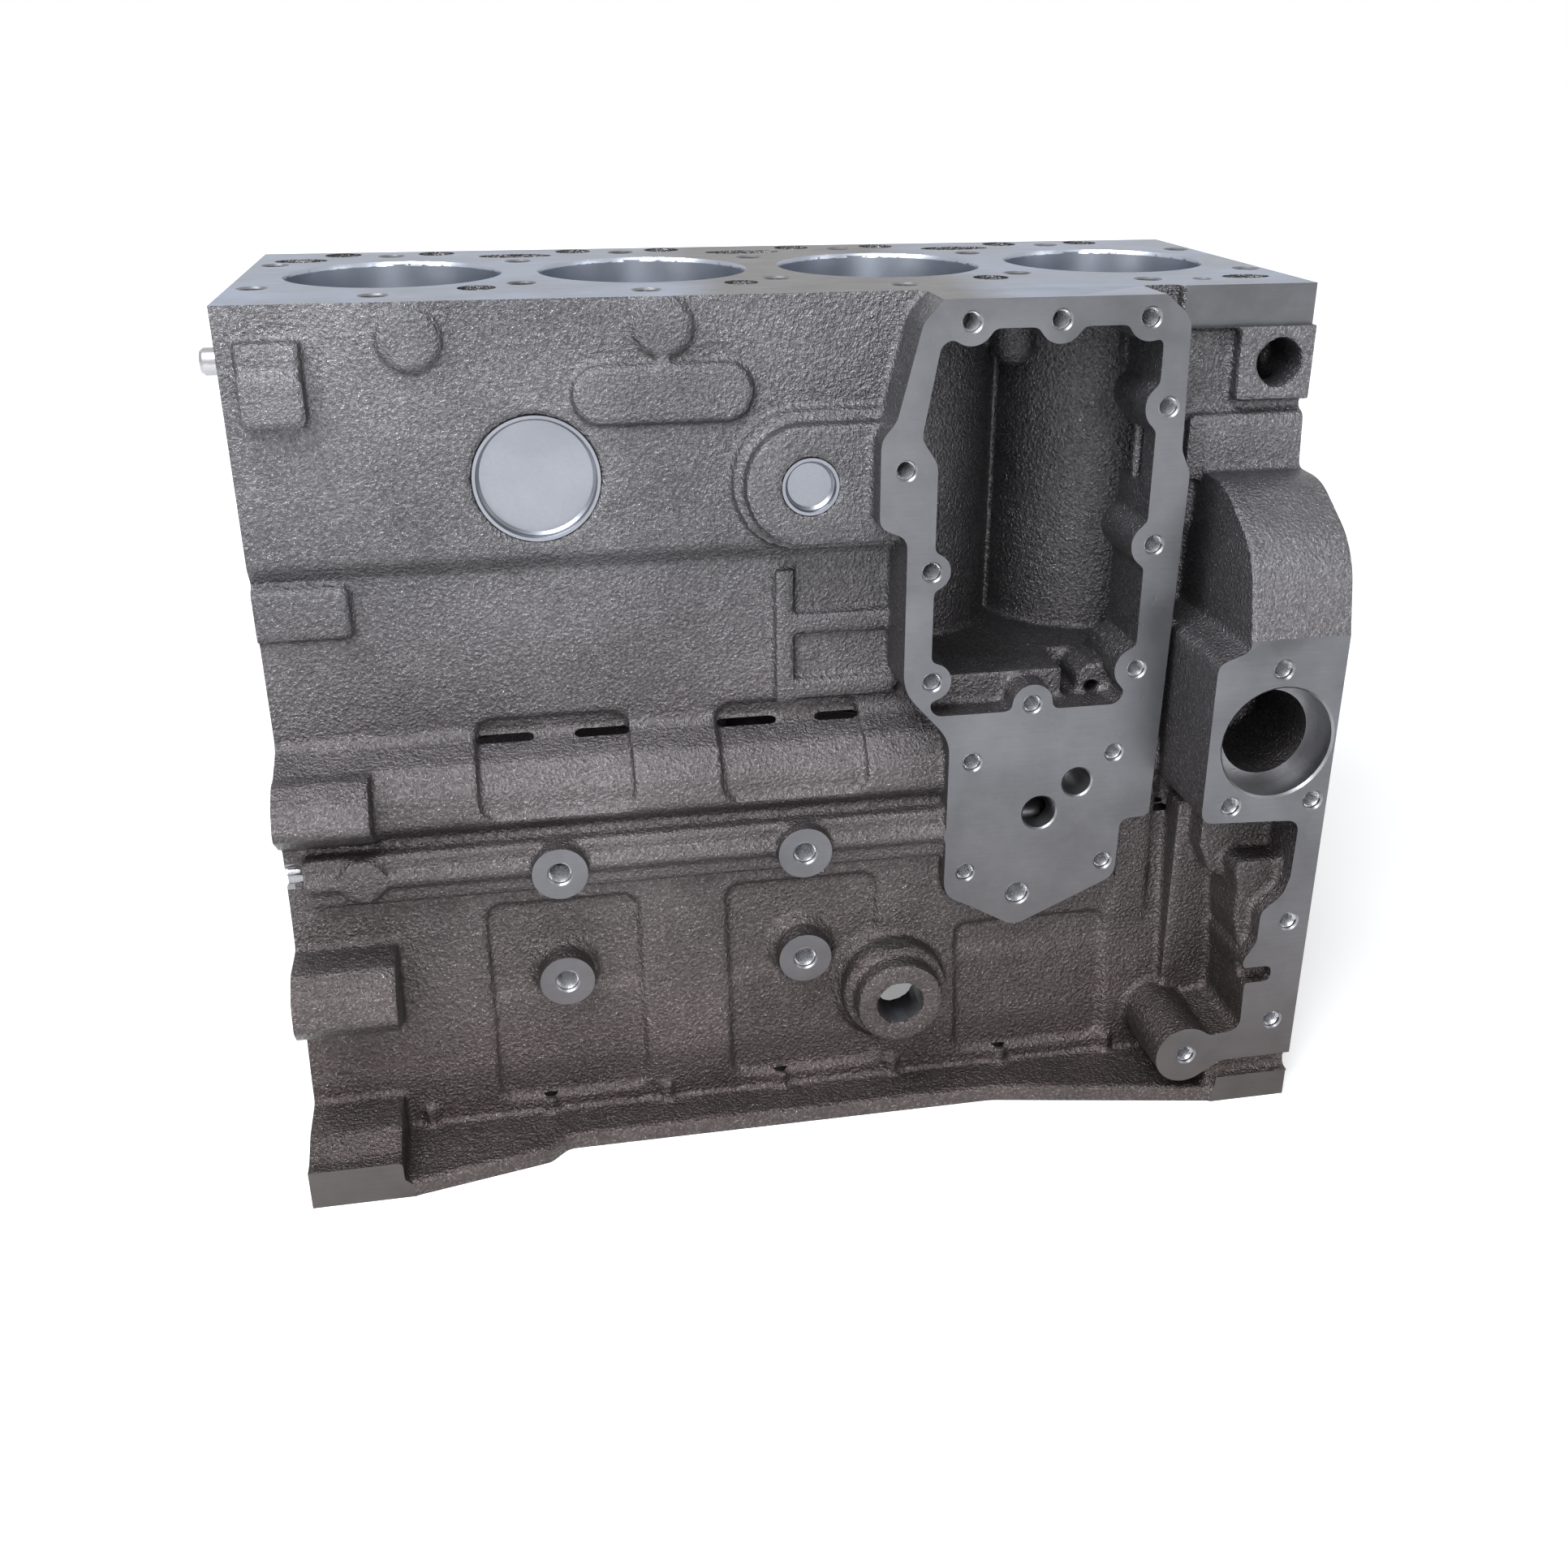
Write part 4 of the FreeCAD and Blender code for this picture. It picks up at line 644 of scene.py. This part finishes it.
# ---------------------------------------------------------------- caps, bolts, plugs and pins
# Main bearing caps are small castings of the same iron, sawn and bored with the block; the
# bolts are black-oxide steel; core plugs are bright pressed cups; pins are ground steel.
finishes = {
    "main_cap": cast_material("cap_skin", (0.13, 0.12, 0.12, 1), (0.19, 0.18, 0.18, 1)),
    "main_cap_bolts": milled_material("black_oxide", (0.045, 0.045, 0.05, 1), (0.075, 0.075, 0.08, 1),
                                      (1.0, 1.0, 0.1), (0.3, 0.45)),
    "plug": milled_material("bright_cup", (0.215, 0.225, 0.25, 1), (0.25, 0.26, 0.29, 1), (1.0, 1.0, 1.0),
                            (0.28, 0.38), 1.0, 0.05),
    "bushing": milled_material("bronze_bush", (0.42, 0.30, 0.16, 1), (0.55, 0.40, 0.22, 1), (1.0, 0.1, 1.0)),
    "pin": milled_material("ground_pin", (0.30, 0.30, 0.31, 1), (0.40, 0.40, 0.41, 1), (0.1, 1.0, 1.0),
                           (0.18, 0.28)),
    "socket": milled_material("socket_plug", (0.20, 0.20, 0.21, 1), (0.30, 0.30, 0.31, 1), (1.0, 1.0, 1.0)),
}
for name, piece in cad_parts.items():
    if name == "cylinder_block":
        continue
    finish = finishes["pin"]
    if name == "main_cap_bolts":
        finish = finishes["main_cap_bolts"]
    elif name.startswith("main_cap_"):
        finish = finishes["main_cap"]
    elif name.startswith("gallery"):
        finish = finishes["socket"]
    elif name.endswith("plug"):
        finish = finishes["plug"]
    elif name.endswith("bushing"):
        finish = finishes["bushing"]
    piece.data.materials.clear()
    piece.data.materials.append(finish)

# ---------------------------------------------------------------- floor, light and camera
# A pale studio floor that fades into a white surround, a wide soft box overhead and two
# weaker panels at the sides, so the grain shows without hard highlights.
floor_mesh = bpy.data.meshes.new("floor")
form = bmesh.new()
bmesh.ops.create_grid(form, x_segments=1, y_segments=1, size=30.0)
bmesh.ops.translate(form, verts=form.verts, vec=(0, 0, frame_box[0].z))
form.to_mesh(floor_mesh)
form.free()
floor = bpy.data.objects.new("floor", floor_mesh)
bpy.context.scene.collection.objects.link(floor)



def seen_rays(tree):
    """1 for rays that look at the surround straight, in a reflection or through glass."""
    rays = tree.nodes.new("ShaderNodeLightPath")
    direct = math_node(tree, "ADD", rays.outputs["Is Camera Ray"], rays.outputs["Is Glossy Ray"])
    return math_node(tree, "ADD", direct, rays.outputs["Is Transmission Ray"], clamp=True)


paper = bpy.data.materials.new("pale_floor")
paper.use_nodes = True
tree = paper.node_tree
tree.nodes.clear()
cover = node(tree, "ShaderNodeBsdfDiffuse", {"Color": (0.80, 0.80, 0.80, 1)})
place = tree.nodes.new("ShaderNodeTexCoord").outputs["Object"]
away = node(tree, "ShaderNodeVectorMath", {0: place}, operation="LENGTH").outputs["Value"]
fade = spread(tree, away, 0.6, 2.2, 0.28, 1.0)
shine = math_node(tree, "MULTIPLY", seen_rays(tree), fade)
glow = node(tree, "ShaderNodeEmission", {"Color": (1, 1, 1, 1), "Strength": shine})
both = node(tree, "ShaderNodeAddShader", {0: cover.outputs[0], 1: glow.outputs[0]})
end = node(tree, "ShaderNodeOutputMaterial", {"Surface": both.outputs[0]})
floor_mesh.materials.append(paper)

world = bpy.data.worlds.new("studio")
bpy.context.scene.world = world
world.use_nodes = True
tree = world.node_tree
tree.nodes.clear()
strength = spread(tree, seen_rays(tree), 0.0, 1.0, 0.38, 1.0)
back = node(tree, "ShaderNodeBackground", {"Color": (1, 1, 1, 1), "Strength": strength})
end = node(tree, "ShaderNodeOutputWorld", {"Surface": back.outputs[0]})


def soft_box(name, place, aim, wide, high, power, tint=(1, 1, 1)):
    lamp = bpy.data.lights.new(name, "AREA")
    lamp.shape = "RECTANGLE"
    lamp.size = wide
    lamp.size_y = high
    lamp.energy = power
    lamp.color = tint
    box = bpy.data.objects.new(name, lamp)
    bpy.context.scene.collection.objects.link(box)
    box.location = place
    box.rotation_mode = "QUATERNION"
    box.rotation_quaternion = (Vector(aim) - Vector(place)).to_track_quat("-Z", "Y")
    return box


soft_box("soft_box_top", (-0.60, -0.75, 1.40), (-0.05, -0.08, 0.16), 1.2, 0.8, 52.0, (0.93, 0.96, 1.0))
soft_box("panel_left", (-1.4, -1.1, 0.9), (0, 0, 0.12), 0.8, 1.0, 11.0, (1.0, 0.98, 0.96))
soft_box("panel_front", (0.05, -1.7, 0.85), (0.05, 0, 0.15), 0.5, 0.5, 14.0)
soft_box("panel_right", (1.6, -0.9, 0.7), (0, 0, 0.12), 0.6, 1.0, 4.0)

camera_data = bpy.data.cameras.new("camera")
camera = bpy.data.objects.new("camera", camera_data)
bpy.context.scene.collection.objects.link(camera)
bpy.context.scene.camera = camera
yaw, dip, roll = 0.193, 0.419, 0.004
ahead = Vector((math.sin(yaw), math.cos(yaw), 0))
right = Vector((math.cos(yaw), -math.sin(yaw), 0))
upward = Vector((0, 0, 1))
look = ahead * math.cos(dip) - upward * math.sin(dip)
lift = upward * math.cos(dip) + ahead * math.sin(dip)
side = right * math.cos(roll) + lift * math.sin(roll)
rise = lift * math.cos(roll) - right * math.sin(roll)
turn = Matrix((side, rise, -look)).transposed()
camera.matrix_world = Matrix.Translation((-0.12894, -0.81390, 0.41732)) @ turn.to_4x4()
camera_data.sensor_width = 36.0
camera_data.lens = 36.063
camera_data.shift_x = -0.0219
camera_data.shift_y = -0.0144
camera_data.clip_start = 0.05
camera_data.clip_end = 100.0

bpy.context.scene.view_settings.view_transform = "Standard"
